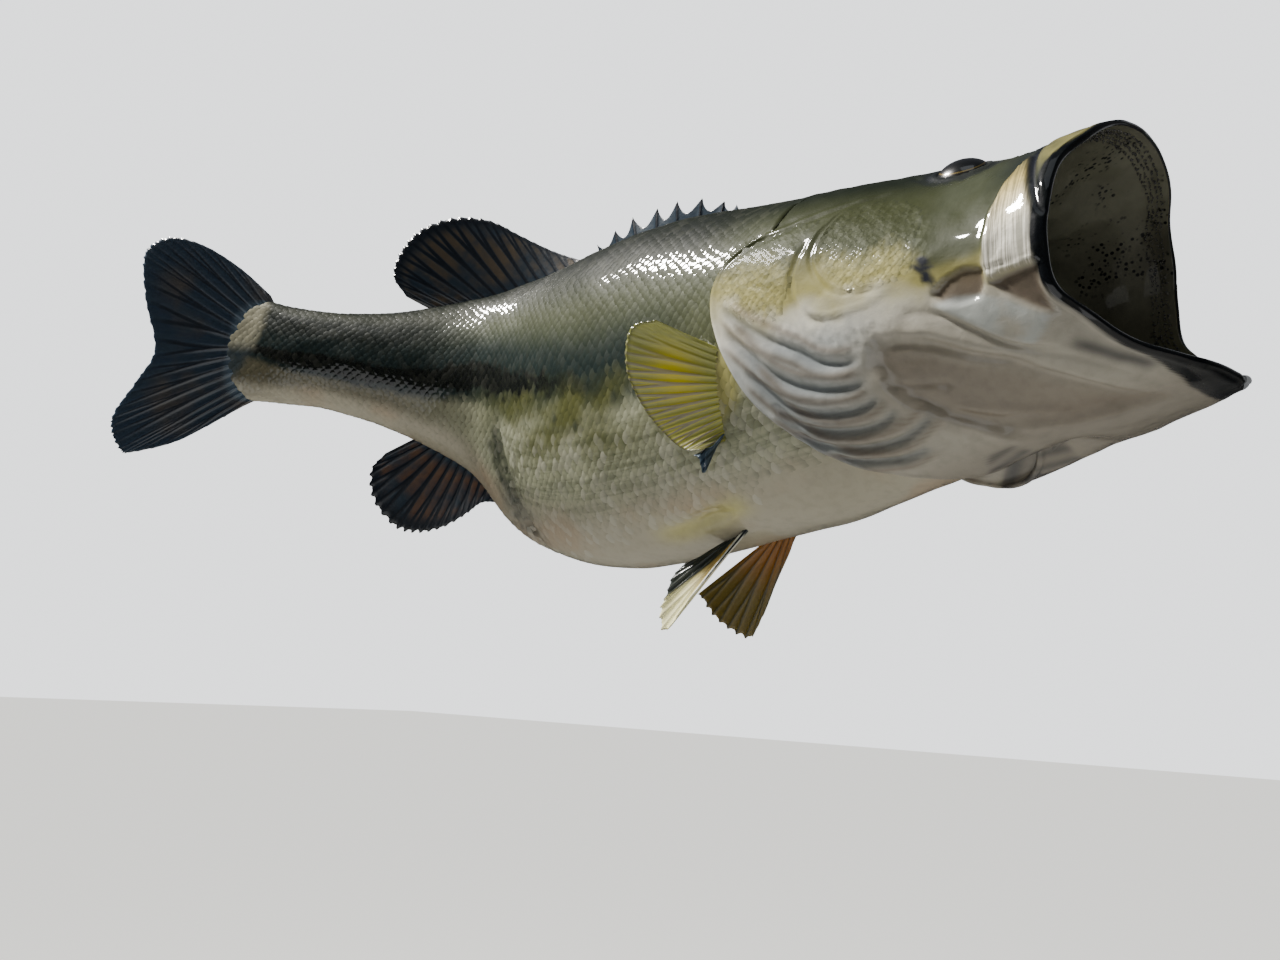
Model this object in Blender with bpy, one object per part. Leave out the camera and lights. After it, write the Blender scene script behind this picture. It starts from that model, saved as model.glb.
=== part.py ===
"""Mounted largemouth bass, life size, hung on its wall hanger with the mouth wide open.

The fish is drawn straight, in its own axes, and then laid along a bent spine:
    x  forward along the spine from the rear edge of the gill cover
    y  out of the fish's right side, the side that faces away from the wall
    z  up the fish
All three are parts of LENGTH. An angle round the body runs from 0 at the back to 180 at the belly.
World axes: +X toward the head, +Y into the wall, +Z up, metres. The wall is the plane Y = 0.
"""
import math

import bmesh
import bpy
import numpy as np
from mathutils import Euler, Matrix, Vector

# ---------------------------------------------------------------- driving sizes
LENGTH = 0.572                      # closed snout to tail tips, measured along the spine
GAP = 0.0003                        # clearance between neighbouring solids, metres
GAP_ALONG = 0.5 * GAP / LENGTH      # half of it along the spine
GAP_ROUND = 0.3                     # half of it round the body, degrees
COLUMN = 6.0                        # width of a head facet, degrees

# ---------------------------------------------------------------- pose
GILL_POINT = Vector((0.067, -0.0755, -0.001))    # spine at the rear edge of the gill cover
YAW, PITCH, ROLL = -11.0, -0.9, -7.3            # mid body, degrees
NECK_TURN, NECK_FROM, NECK_TO = -4.8, -0.12, 0.05
TAIL_TURN, TAIL_FROM, TAIL_TO = 45.0, -0.17, -0.43
FIN_TURN, FIN_FROM, FIN_TO = -6.0, -0.43, -0.66
TAIL_LIFT, LIFT_FROM, LIFT_TO = -5.0, -0.15, -0.50
SPINE_REAR, SPINE_FRONT, SPINE_STEPS = -0.90, 0.50, 701

# ---------------------------------------------------------------- body sections
# x, top, bottom, half width, upper roundness, lower roundness, height of the widest line
TRUNK = np.array((
    (-0.620, 0.057, -0.050, 0.009, 2.0, 2.0, 0.003),
    (-0.585, 0.056, -0.050, 0.014, 2.0, 2.0, 0.003),
    (-0.555, 0.053, -0.048, 0.021, 2.0, 2.0, 0.003),
    (-0.510, 0.054, -0.046, 0.028, 2.0, 2.0, 0.003),
    (-0.450, 0.064, -0.053, 0.037, 2.0, 2.0, 0.002),
    (-0.400, 0.079, -0.066, 0.045, 2.0, 2.1, 0.004),
    (-0.340, 0.096, -0.096, 0.058, 2.0, 2.1, 0.004),
    (-0.300, 0.106, -0.138, 0.068, 2.0, 2.2, 0.000),
    (-0.240, 0.117, -0.168, 0.080, 2.0, 2.2, -0.010),
    (-0.170, 0.124, -0.179, 0.088, 2.0, 2.2, -0.015),
    (-0.100, 0.124, -0.174, 0.092, 2.0, 2.2, -0.018),
    (-0.030, 0.114, -0.163, 0.095, 2.0, 2.2, -0.018),
    (0.040, 0.100, -0.153, 0.095, 2.0, 2.1, -0.020),
    (0.100, 0.090, -0.141, 0.094, 2.0, 1.9, -0.020)))
HEAD = np.array((
    (-0.010, 0.110, -0.150, 0.105, 2.0, 2.2, -0.018),
    (0.050, 0.098, -0.152, 0.104, 2.0, 2.2, -0.020),
    (0.100, 0.090, -0.151, 0.103, 1.9, 2.2, -0.020),
    (0.140, 0.084, -0.148, 0.103, 1.7, 2.2, -0.020),
    (0.175, 0.079, -0.139, 0.101, 1.6, 2.2, -0.020),
    (0.205, 0.072, -0.130, 0.099, 1.65, 2.2, -0.020),
    (0.230, 0.066, -0.121, 0.098, 1.9, 2.2, -0.020),
    (0.254, 0.065, -0.115, 0.097, 2.2, 2.2, -0.020),
    (0.268, 0.066, -0.111, 0.090, 2.2, 2.2, -0.020),
    (0.283, 0.066, -0.107, 0.084, 2.2, 2.2, -0.020),
    (0.300, 0.066, -0.102, 0.070, 2.2, 2.2, -0.026),
    (0.312, 0.066, -0.097, 0.036, 2.2, 2.2, -0.036),
    (0.314, 0.066, -0.096, 0.010, 2.2, 2.2, -0.040)))
THROAT = np.array((
    (0.055, 0.068, -0.150, 0.086, 2.0, 2.1, -0.020),
    (0.075, 0.067, -0.146, 0.083, 2.0, 2.0, -0.020),
    (0.090, 0.058, -0.143, 0.080, 2.0, 1.9, -0.020),
    (0.104, 0.020, -0.139, 0.072, 2.0, 1.9, -0.040),
    (0.118, -0.050, -0.135, 0.060, 2.0, 1.8, -0.080),
    (0.130, -0.083, -0.132, 0.052, 2.0, 1.8, -0.100),
    (0.150, -0.092, -0.126, 0.040, 2.0, 1.8, -0.108),
    (0.187, -0.102, -0.113, 0.010, 2.0, 1.8, -0.108)))
TOP, BOTTOM, WIDTH, UPPER, LOWER, WIDEST = range(1, 7)

# ---------------------------------------------------------------- edges of the head
# angle round the head, x: the free edge of the gill cover, then the rim of the open mouth
GILL_EDGE = np.array((
    (0, 0.060), (44, 0.062), (53, 0.058), (63, 0.025), (72, 0.015), (86, 0.016), (101, 0.031),
    (113, 0.048), (127, 0.077), (139, 0.105), (149, 0.136), (162, 0.168), (175, 0.192), (180, 0.196)))
MOUTH_RIM = np.array((
    (0, 0.275), (20, 0.273), (42, 0.267), (54, 0.260), (75, 0.256), (90, 0.254), (105, 0.257),
    (115, 0.268), (130, 0.283), (142, 0.300), (152, 0.309), (165, 0.313), (180, 0.3135)))
SKULL_REAR, SKULL_ANGLE = 0.060, 54.0
GILL_PLATE_FRONT, CHEEK_FRONT, LIP_REAR = 0.100, 0.205, 0.245
CHEEK_ANGLE, CORNER_ANGLE, MEMBRANE_ANGLE = 114.0, 102.0, 174.0
JAW_STEPS = 5
CHIN_NOTCH, NOTCH_WIDTH, NOTCH_FROM, NOTCH_TO = 0.016, 0.020, 0.205, 0.250

# ---------------------------------------------------------------- wall thicknesses, parts of LENGTH
GILL_WALL, JAW_WALL, LIP_WALL, PALATE = 0.0055, 0.012, 0.006, 0.020
LIP_TAPER = 0.035                   # length over which a wall thins toward the mouth rim
THIN_UNTIL, THICK_FROM = 0.080, 0.120
SKIN_ANGLES, SKIN_UNTIL = (114.0, 126.0), (0.185, 0.205)
THROAT_FRONT = 0.187
PALATE_ANGLES = (25.0, 50.0)
PALATE_FADE = (0.205, 0.245)

# ---------------------------------------------------------------- cuts through the trunk
SHOULDER, BELLY_CUT, VENT_CUT, STALK_CUT = 0.055, -0.155, -0.300, -0.450
RIDGE = 2.0                         # angle kept clear of the back and belly lines, degrees
TRUNK_COLUMNS = 18
TAIL_BASE, TAIL_BULGE = -0.577, 0.034

# ---------------------------------------------------------------- fins: points are (x, z) or (x, y, z)
FIN_ROOT, FIN_EDGE = 0.0018, 0.0008     # full thickness, metres
FIN_STEP = 0.01                         # share of a fin over which its slope is measured
SPINY_TIPS = ((-0.045, 0.1215), (-0.058, 0.127), (-0.082, 0.136), (-0.111, 0.142), (-0.136, 0.143),
              (-0.168, 0.145), (-0.191, 0.138), (-0.216, 0.131))
SPINY_ROOT = (-0.040, -0.212)
SPINY_SAG = 0.35                        # how far the skin between two spines hangs, of a spine
SOFT_ROOT = (-0.234, -0.412)
SOFT_TIPS = ((-0.238, 0.124), (-0.278, 0.139), (-0.326, 0.159), (-0.367, 0.174), (-0.409, 0.174),
             (-0.444, 0.157), (-0.461, 0.130), (-0.463, 0.102), (-0.444, 0.082))
ANAL_ROOT = (-0.322, -0.408)
ANAL_TIPS = ((-0.324, -0.115), (-0.338, -0.118), (-0.351, -0.131), (-0.372, -0.148), (-0.394, -0.156),
             (-0.416, -0.153), (-0.440, -0.130), (-0.448, -0.100), (-0.436, -0.080))
TAIL_TIPS = ((-0.583, 0.062), (-0.620, 0.086), (-0.663, 0.105), (-0.700, 0.110), (-0.722, 0.098),
             (-0.726, 0.079), (-0.715, 0.039), (-0.695, -0.010), (-0.708, -0.045), (-0.726, -0.081),
             (-0.725, -0.101), (-0.711, -0.119), (-0.698, -0.120), (-0.648, -0.100), (-0.601, -0.064))
TAIL_ROOT_ANGLES = (8.0, 172.0)
PECTORAL_ROOT = ((0.012, -0.027), (0.005, -0.093))
PECTORAL_TIPS = ((-0.023, 0.125, -0.005), (-0.050, 0.129, -0.007), (-0.056, 0.127, -0.036),
                 (-0.046, 0.118, -0.066), (-0.027, 0.109, -0.088), (-0.006, 0.101, -0.105))
FOLDED = 0.45                           # how far the hidden pectoral stands off, of the shown one
PELVIC_ROOT = ((-0.018, 0.032), (-0.042, 0.020))
PELVIC_TIPS = ((-0.086, 0.062, -0.232), (-0.091, 0.060, -0.216), (-0.087, 0.056, -0.203),
               (-0.083, 0.052, -0.188), (-0.074, 0.046, -0.178))
FAR_PELVIC_TIPS = ((-0.054, -0.036, -0.196), (-0.061, -0.036, -0.222), (-0.073, -0.034, -0.241),
                   (-0.092, -0.032, -0.234), (-0.110, -0.030, -0.220), (-0.124, -0.028, -0.202))

# ---------------------------------------------------------------- eyes and hanger
EYE_X, EYE_ANGLE = 0.181, 29.0
EYE_RADIUS, EYE_DEPTH, EYE_SUNK = 0.0100, 0.0068, 0.0032
EYE_SIDES, EYE_RINGS = 16, 8
HANGER_SPAN = (-0.174, -0.099)
HANGER_ANGLES = (70.0, 102.0)
HANGER_CLEAR = 0.0010                   # parts of LENGTH

# ---------------------------------------------------------------- finishes: colour, metallic, roughness
FINISHES = {
    "olive_skin": ((0.075, 0.090, 0.045, 1.0), 0.0, 0.22),
    "pale_skin": ((0.420, 0.400, 0.330, 1.0), 0.0, 0.25),
    "gill_skin": ((0.330, 0.330, 0.270, 1.0), 0.0, 0.22),
    "lip_skin": ((0.045, 0.050, 0.050, 1.0), 0.0, 0.22),
    "throat_skin": ((0.060, 0.060, 0.050, 1.0), 0.0, 0.35),
    "dark_fin": ((0.020, 0.026, 0.034, 1.0), 0.0, 0.28),
    "yellow_fin": ((0.330, 0.280, 0.060, 1.0), 0.0, 0.28),
    "glass_eye": ((0.010, 0.008, 0.006, 1.0), 0.0, 0.05),
    "hanger_wood": ((0.250, 0.150, 0.080, 1.0), 0.0, 0.60)}


def clear_scene():
    """Empty the scene that the script starts in."""
    for old in list(bpy.data.objects):
        bpy.data.objects.remove(old, do_unlink=True)


def finish(name):
    """The Principled BSDF material of one finish, made once."""
    made = bpy.data.materials.get(name)
    if made:
        return made
    colour, metallic, roughness = FINISHES[name]
    made = bpy.data.materials.new(name)
    made.use_nodes = True
    made.diffuse_color = colour
    shader = made.node_tree.nodes["Principled BSDF"]
    shader.inputs["Base Color"].default_value = colour
    shader.inputs["Metallic"].default_value = metallic
    shader.inputs["Roughness"].default_value = roughness
    return made


# ---------------------------------------------------------------- curves and the bent spine
def smooth(low, high, value):
    """0 below low, 1 above high, eased between."""
    step = np.clip((value - low) / (high - low), 0.0, 1.0)
    return step * step * (3.0 - 2.0 * step)


def spline(at, value, where):
    """A smooth curve through the points (at, value)."""
    where = np.clip(where, at[0], at[-1])
    slope = np.gradient(value, at)
    left = np.clip(np.searchsorted(at, where) - 1, 0, len(at) - 2)
    width = at[left + 1] - at[left]
    t = (where - at[left]) / width
    start = (2 * t**3 - 3 * t**2 + 1) * value[left] + (t**3 - 2 * t**2 + t) * width * slope[left]
    end = (3 * t**2 - 2 * t**3) * value[left + 1] + (t**3 - t**2) * width * slope[left + 1]
    return start + end


def path(points, share):
    """The smooth path through points, at shares 0 to 1 of the way."""
    points = np.array(points)
    knots = np.linspace(0.0, 1.0, len(points))
    return np.stack([spline(knots, column, share) for column in points.T], axis=-1)


def bend_spine():
    """Positions and the forward, side and up directions along the spine."""
    x = np.linspace(SPINE_REAR, SPINE_FRONT, SPINE_STEPS)
    yaw = YAW + NECK_TURN * smooth(NECK_FROM, NECK_TO, x)
    yaw = yaw + TAIL_TURN * (1.0 - smooth(TAIL_TO, TAIL_FROM, x))
    yaw = np.radians(yaw + FIN_TURN * (1.0 - smooth(FIN_TO, FIN_FROM, x)))
    pitch = np.radians(PITCH + TAIL_LIFT * (1.0 - smooth(LIFT_TO, LIFT_FROM, x)))
    roll = math.radians(ROLL)
    forward = np.stack([np.cos(pitch) * np.cos(yaw), np.cos(pitch) * np.sin(yaw), np.sin(pitch)], 1)
    level = np.stack([np.sin(yaw), -np.cos(yaw), 0.0 * yaw], 1)
    upright = np.cross(forward, -level)
    side = math.cos(roll) * level + math.sin(roll) * upright
    up = math.cos(roll) * upright - math.sin(roll) * level
    steps = 0.5 * (forward[1:] + forward[:-1]) * (x[1] - x[0])
    centre = np.vstack([np.zeros(3), np.cumsum(steps, axis=0)])
    start = np.array([np.interp(0.0, x, centre[:, k]) for k in range(3)])
    return x, np.hstack([LENGTH * (centre - start) + np.array(GILL_POINT), forward, side, up])


SPINE_X, SPINE = bend_spine()


def placed(points):
    """World positions of points given in the fish's own axes."""
    frame = np.stack([np.interp(points[..., 0], SPINE_X, column) for column in SPINE.T], axis=-1)
    side = points[..., 1:2] * LENGTH * frame[..., 6:9]
    up = points[..., 2:3] * LENGTH * frame[..., 9:12]
    return frame[..., 0:3] + side + up


# ---------------------------------------------------------------- body surfaces
def section(table, x, angle, inset=0.0, crown=0.0):
    """Points of the body surface, moved in by inset and, on its upper part, by crown as well."""
    rows = [spline(table[:, 0], table[:, column], x) for column in range(1, 7)]
    top, bottom, width, upper, lower, widest = rows
    turn = np.radians(angle)
    cosine, sine = np.cos(turn), np.sin(turn)
    power = 2.0 / np.where(cosine > 0.0, upper, lower)
    reach = np.where(cosine > 0.0, top - crown - inset - widest, widest - bottom - inset)
    side = (width - inset) * np.sign(sine) * np.abs(sine) ** power
    height = widest + reach * np.sign(cosine) * np.abs(cosine) ** power
    return np.stack([x + 0.0 * side, side, height], axis=-1)


def head_point(x, angle, inset=0.0, crown=0.0):
    """A point of the head, with the notch where the gill skins meet behind the chin."""
    point = section(HEAD, x, angle, inset, crown)
    fade = 1.0 - smooth(NOTCH_FROM, NOTCH_TO, x)
    near = np.exp(-(point[..., 1] / NOTCH_WIDTH) ** 2) * np.where(point[..., 2] < 0.0, 1.0, 0.0)
    point[..., 2] += CHIN_NOTCH * fade * near
    return point


def fold(angle):
    """The angle down from the back on either side, 0 to 180."""
    return 180.0 - np.abs(180.0 - np.abs(angle))


def edge(table, angle):
    """x of an edge of the head at an angle on either side."""
    return spline(table[:, 0], table[:, 1], fold(angle))


def head_inside(x, angle):
    """The inner face of the head's walls: thin gill covers, thicker jaws and a deep palate."""
    under = smooth(*SKIN_ANGLES, fold(angle)) * (1.0 - smooth(*SKIN_UNTIL, x))
    thickness = GILL_WALL + (JAW_WALL - GILL_WALL) * smooth(THIN_UNTIL, THICK_FROM, x) * (1.0 - under)
    rim = edge(MOUTH_RIM, angle)
    thickness = thickness - (thickness - LIP_WALL) * smooth(rim - LIP_TAPER, rim, x)
    crown = PALATE * (1.0 - smooth(*PALATE_ANGLES, fold(angle))) * (1.0 - smooth(*PALATE_FADE, x))
    return head_point(x, angle, thickness, crown)


def flank(table, x, z):
    """Half width of the body at a height."""
    top, bottom, width, upper, lower, widest = [spline(table[:, 0], table[:, k], x) for k in range(1, 7)]
    reach = np.where(z > widest, top - widest, widest - bottom)
    power = np.where(z > widest, upper, lower)
    return width * (1.0 - (np.abs(z - widest) / reach) ** power) ** (1.0 / power)


def underside(table, x, y):
    """Height of the belly at a distance from the middle."""
    bottom, width, widest = [spline(table[:, 0], table[:, k], x) for k in (BOTTOM, WIDTH, WIDEST)]
    power = spline(table[:, 0], table[:, LOWER], x)
    return widest - (widest - bottom) * (1.0 - np.abs(y / width) ** power) ** (1.0 / power)


# ---------------------------------------------------------------- solids
def solid(name, columns, rows, front, back, material):
    """One closed solid between two sheets.

    A unit grid is extruded, and then each vertex goes where front(u, v) or back(u, v) puts it.
    """
    mesh = bmesh.new()
    middle = Matrix.Translation((0.5, 0.5, 0.0))
    bmesh.ops.create_grid(mesh, x_segments=columns, y_segments=rows, size=0.5, matrix=middle)
    grown = bmesh.ops.extrude_face_region(mesh, geom=mesh.faces[:])
    behind = {item for item in grown["geom"] if isinstance(item, bmesh.types.BMVert)}
    for group, place in ((set(mesh.verts) - behind, front), (behind, back)):
        verts = list(group)
        share = np.array([vert.co[:2] for vert in verts])
        for vert, point in zip(verts, place(share[:, 0], share[:, 1])):
            vert.co = Vector(point)
    bmesh.ops.recalc_face_normals(mesh, faces=mesh.faces[:])
    if mesh.calc_volume(signed=True) < 0.0:
        bmesh.ops.reverse_faces(mesh, faces=mesh.faces[:])
    data = bpy.data.meshes.new(name)
    mesh.to_mesh(data)
    mesh.free()
    return add_object(name, data, material)


def add_object(name, data, material):
    """Link one named object with its finish, shaded smooth with crisp rims."""
    data.shade_smooth()
    data.set_sharp_from_angle(angle=math.radians(50.0))
    data.materials.append(finish(material))
    made = bpy.data.objects.new(name, data)
    bpy.context.scene.collection.objects.link(made)
    return made


def trunk_piece(name, front_x, rear_x, steps, material, table=TRUNK):
    """A length of the trunk: its right and left halves are the two sheets of one solid."""
    def half(side):
        def place(u, v):
            angle = RIDGE + u * (180.0 - 2.0 * RIDGE)
            rear = rear_x(angle) if callable(rear_x) else rear_x
            x = front_x + v * (rear - front_x)
            return placed(section(table, x, angle) * np.array((1.0, side, 1.0)))
        return place
    return solid(name, TRUNK_COLUMNS, steps, half(1.0), half(-1.0), material)


def tail_end(angle):
    """x of the rounded end of the scaled tail base."""
    return TAIL_BASE - TAIL_BULGE * np.sin(np.radians(angle))


def head_piece(name, angles, rear, front, steps, material):
    """A piece of the head's wall between two angles and two edges, each a number or a function."""
    low, high = angles
    columns = round((high - low) / COLUMN)

    def spread(u, v):
        angle = np.clip(low + u * (high - low), low + GAP_ROUND, high - GAP_ROUND)
        back_edge = (rear(angle) if callable(rear) else rear) + GAP_ALONG
        front_edge = (front(angle) if callable(front) else front) - GAP_ALONG
        return back_edge + v * (front_edge - back_edge), angle

    def outside(u, v):
        return placed(head_point(*spread(u, v)))

    def inside(u, v):
        return placed(head_inside(*spread(u, v)))

    return solid(name, columns, steps, outside, inside, material)


def fin(name, root, tip, columns, rows, material):
    """A thin fin: rays run from root(u) to tip(u), and it thins toward its outer edge."""
    def middle(u, v):
        return placed(root(u) + v[:, None] * (tip(u) - root(u)))

    def facing(u, v):
        across = middle(np.minimum(u + FIN_STEP, 1.0), v) - middle(np.maximum(u - FIN_STEP, 0.0), v)
        outward = middle(u, np.minimum(v + FIN_STEP, 1.0)) - middle(u, np.maximum(v - FIN_STEP, 0.0))
        flat = np.cross(across, outward)
        return flat / np.linalg.norm(flat, axis=1, keepdims=True)

    def sheet(side):
        def place(u, v):
            half = 0.5 * side * (FIN_ROOT + (FIN_EDGE - FIN_ROOT) * v)[:, None]
            return middle(u, v) + half * facing(u, v)
        return place
    return solid(name, columns, rows, sheet(1.0), sheet(-1.0), material)


# ---------------------------------------------------------------- sub-parts
def build_trunk():
    """Four lengths of the body, cut square to the spine, and the throat inside the head."""
    trunk_piece("trunk_front", SHOULDER - GAP_ALONG, BELLY_CUT + GAP_ALONG, 7, "olive_skin")
    trunk_piece("trunk_middle", BELLY_CUT - GAP_ALONG, VENT_CUT + GAP_ALONG, 6, "olive_skin")
    trunk_piece("trunk_rear", VENT_CUT - GAP_ALONG, STALK_CUT + GAP_ALONG, 7, "olive_skin")
    trunk_piece("tail_stalk", STALK_CUT - GAP_ALONG, tail_end, 7, "olive_skin")
    trunk_piece("throat", THROAT_FRONT, SHOULDER + GAP_ALONG, 8, "throat_skin", THROAT)


def build_head():
    """The skull, jaws and gill covers as walls round the open mouth."""
    def gill(angle):
        return edge(GILL_EDGE, angle)

    def rim(angle):
        return edge(MOUTH_RIM, angle)

    skull = head_piece("skull", (-SKULL_ANGLE, SKULL_ANGLE), SKULL_REAR, LIP_REAR, 6, "olive_skin")
    head_piece("upper_lip", (-CORNER_ANGLE, CORNER_ANGLE), LIP_REAR, rim, 1, "lip_skin")
    head_piece("lower_jaw", (CHEEK_ANGLE, 360.0 - CHEEK_ANGLE), CHEEK_FRONT, rim,
               JAW_STEPS, "pale_skin")
    for name, side in (("right", 1.0), ("left", -1.0)):
        def spans(first, last):
            return (first, last) if side > 0.0 else (-last, -first)
        upper = spans(SKULL_ANGLE, CHEEK_ANGLE)
        head_piece(f"gill_cover_{name}", upper, gill, GILL_PLATE_FRONT, 4, "gill_skin")
        head_piece(f"cheek_{name}", upper, GILL_PLATE_FRONT, CHEEK_FRONT, 4, "gill_skin")
        head_piece(f"maxilla_{name}", spans(SKULL_ANGLE, CORNER_ANGLE), CHEEK_FRONT, LIP_REAR, 2,
                   "gill_skin")
        head_piece(f"mouth_corner_{name}", spans(CORNER_ANGLE, CHEEK_ANGLE), CHEEK_FRONT, rim,
                   JAW_STEPS, "pale_skin")
        head_piece(f"gill_membrane_{name}", spans(CHEEK_ANGLE, MEMBRANE_ANGLE), gill,
                   CHEEK_FRONT, 6, "pale_skin")
    return skull


def build_eye(name, side, skull):
    """A glass eye, and the socket that it needs in the skull."""
    spot = np.array((EYE_X, EYE_X + 0.002, EYE_X))
    turn = np.array((EYE_ANGLE, EYE_ANGLE, EYE_ANGLE + 2.0))
    here, ahead, beside = [Vector(p) for p in placed(head_point(spot, side * turn))]
    outward = (ahead - here).cross(beside - here).normalized() * -side
    if outward.dot(here - Vector(placed(np.array((EYE_X, 0.0, 0.0))))) < 0.0:
        outward = -outward
    centre = here - outward * EYE_SUNK
    place = Matrix.Translation(centre) @ outward.to_track_quat("Z", "Y").to_matrix().to_4x4()

    def ball(ball_name, clear):
        mesh = bmesh.new()
        size = Matrix.Diagonal((EYE_RADIUS + clear, EYE_RADIUS + clear, EYE_DEPTH + clear, 1.0))
        bmesh.ops.create_uvsphere(mesh, u_segments=EYE_SIDES, v_segments=EYE_RINGS, radius=1.0,
                                  matrix=place @ size)
        data = bpy.data.meshes.new(ball_name)
        mesh.to_mesh(data)
        mesh.free()
        return add_object(ball_name, data, "glass_eye")

    ball(name, 0.0)
    cutter = ball(f"{name}_socket", 1.2 * GAP)
    cutter.hide_render = True
    cutter.display_type = "WIRE"
    cut = skull.modifiers.new(f"{name}_socket", "BOOLEAN")
    cut.operation = "DIFFERENCE"
    cut.solver = "EXACT"
    cut.object = cutter


def build_median_fins():
    """The two dorsal fins, the anal fin and the tail fin, all in the fish's middle plane."""
    def along(span, level, lift):
        def root(u):
            x = span[0] + u * (span[1] - span[0])
            z = spline(TRUNK[:, 0], TRUNK[:, level], x) + lift / LENGTH
            return np.stack([x, 0.0 * x, z], axis=-1)
        return root

    def tips(points):
        def tip(u):
            flat = path(points, u)
            return np.stack([flat[:, 0], 0.0 * u, flat[:, 1]], axis=-1)
        return tip

    def tail_root(u):
        angle = TAIL_ROOT_ANGLES[0] + u * (TAIL_ROOT_ANGLES[1] - TAIL_ROOT_ANGLES[0])
        end = section(TRUNK, tail_end(angle), angle)
        turn = np.radians(angle)
        clear = 2.5 * GAP / LENGTH
        return np.stack([end[:, 0] - clear * np.sin(turn), 0.0 * u, end[:, 2] + clear * np.cos(turn)], -1)

    def spiny_tip(u):
        spines = len(SPINY_TIPS) - 1
        straight = np.stack([np.interp(u * spines, np.arange(spines + 1), column)
                             for column in np.array(SPINY_TIPS).T], axis=-1)
        tip = np.stack([straight[:, 0], 0.0 * u, straight[:, 1]], axis=-1)
        sag = SPINY_SAG * np.sin(np.pi * (u * spines % 1.0))[:, None]
        return tip + sag * (spiny_root(u) - tip)

    spiny_root = along(SPINY_ROOT, TOP, 2.0 * GAP)
    fin("dorsal_fin_spiny", spiny_root, spiny_tip, 28, 1, "dark_fin")
    fin("dorsal_fin_soft", along(SOFT_ROOT, TOP, 2.0 * GAP), tips(SOFT_TIPS), 18, 2, "dark_fin")
    fin("anal_fin", along(ANAL_ROOT, BOTTOM, -2.0 * GAP), tips(ANAL_TIPS), 15, 2, "dark_fin")
    fin("tail_fin", tail_root, tips(TAIL_TIPS), 30, 3, "dark_fin")


def build_paired_fins():
    """Pectoral and pelvic fins, each a fan from a short root on the body."""
    clear = 3.0 * GAP / LENGTH

    def pectoral(side, stand):
        def root(u):
            point = path(PECTORAL_ROOT, u)
            y = flank(TRUNK, point[:, 0], point[:, 1]) + 2.0 * clear
            return np.stack([point[:, 0], side * y, point[:, 1]], axis=-1)

        def tip(u):
            point = path(PECTORAL_TIPS, u)
            y = flank(TRUNK, point[:, 0], point[:, 2]) + 2.0 * clear
            return np.stack([point[:, 0], side * (y + stand * (point[:, 1] - y)), point[:, 2]], axis=-1)
        return root, tip

    def pelvic(side, points):
        def root(u):
            point = path(PELVIC_ROOT, u)
            z = underside(TRUNK, point[:, 0], point[:, 1]) - 2.5 * clear
            return np.stack([point[:, 0], side * point[:, 1], z], axis=-1)

        def tip(u):
            return path(points, u)
        return root, tip

    fans = (("pectoral_fin_right", *pectoral(1.0, 1.0)), ("pectoral_fin_left", *pectoral(-1.0, FOLDED)),
            ("pelvic_fin_right", *pelvic(1.0, PELVIC_TIPS)),
            ("pelvic_fin_left", *pelvic(-1.0, FAR_PELVIC_TIPS)))
    for name, root, tip in fans:
        fin(name, root, tip, 12, 3, "yellow_fin")


def build_hanger():
    """The wooden block on the hidden side: its front follows the body, its back lies on the wall."""
    def body_face(u, v):
        x = HANGER_SPAN[0] + u * (HANGER_SPAN[1] - HANGER_SPAN[0])
        angle = HANGER_ANGLES[0] + v * (HANGER_ANGLES[1] - HANGER_ANGLES[0])
        return placed(section(TRUNK, x, -angle, -HANGER_CLEAR))

    def wall_face(u, v):
        return body_face(u, v) * np.array((1.0, 0.0, 1.0))

    solid("wall_hanger", 5, 4, body_face, wall_face, "hanger_wood")


def main():
    clear_scene()
    build_trunk()
    skull = build_head()
    build_eye("eye_right", 1.0, skull)
    build_eye("eye_left", -1.0, skull)
    build_median_fins()
    build_paired_fins()
    build_hanger()


main()
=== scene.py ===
"""The looks of a mounted largemouth bass, life size, with its mouth wide open.

The fish is drawn straight in its own axes and laid along a bent spine, as the solids are:
    x  forward along the spine from the rear edge of the gill cover
    y  out of the fish's right side, the side that faces away from the wall
    z  up the fish
All three are parts of LENGTH. An angle round the body runs from 0 at the back to 180 at the belly.
"""
import logging
import math
from dataclasses import dataclass
from enum import Enum
from typing import Callable, Sequence, Union

import bpy
import numpy as np
from mathutils import Matrix, Vector


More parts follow.
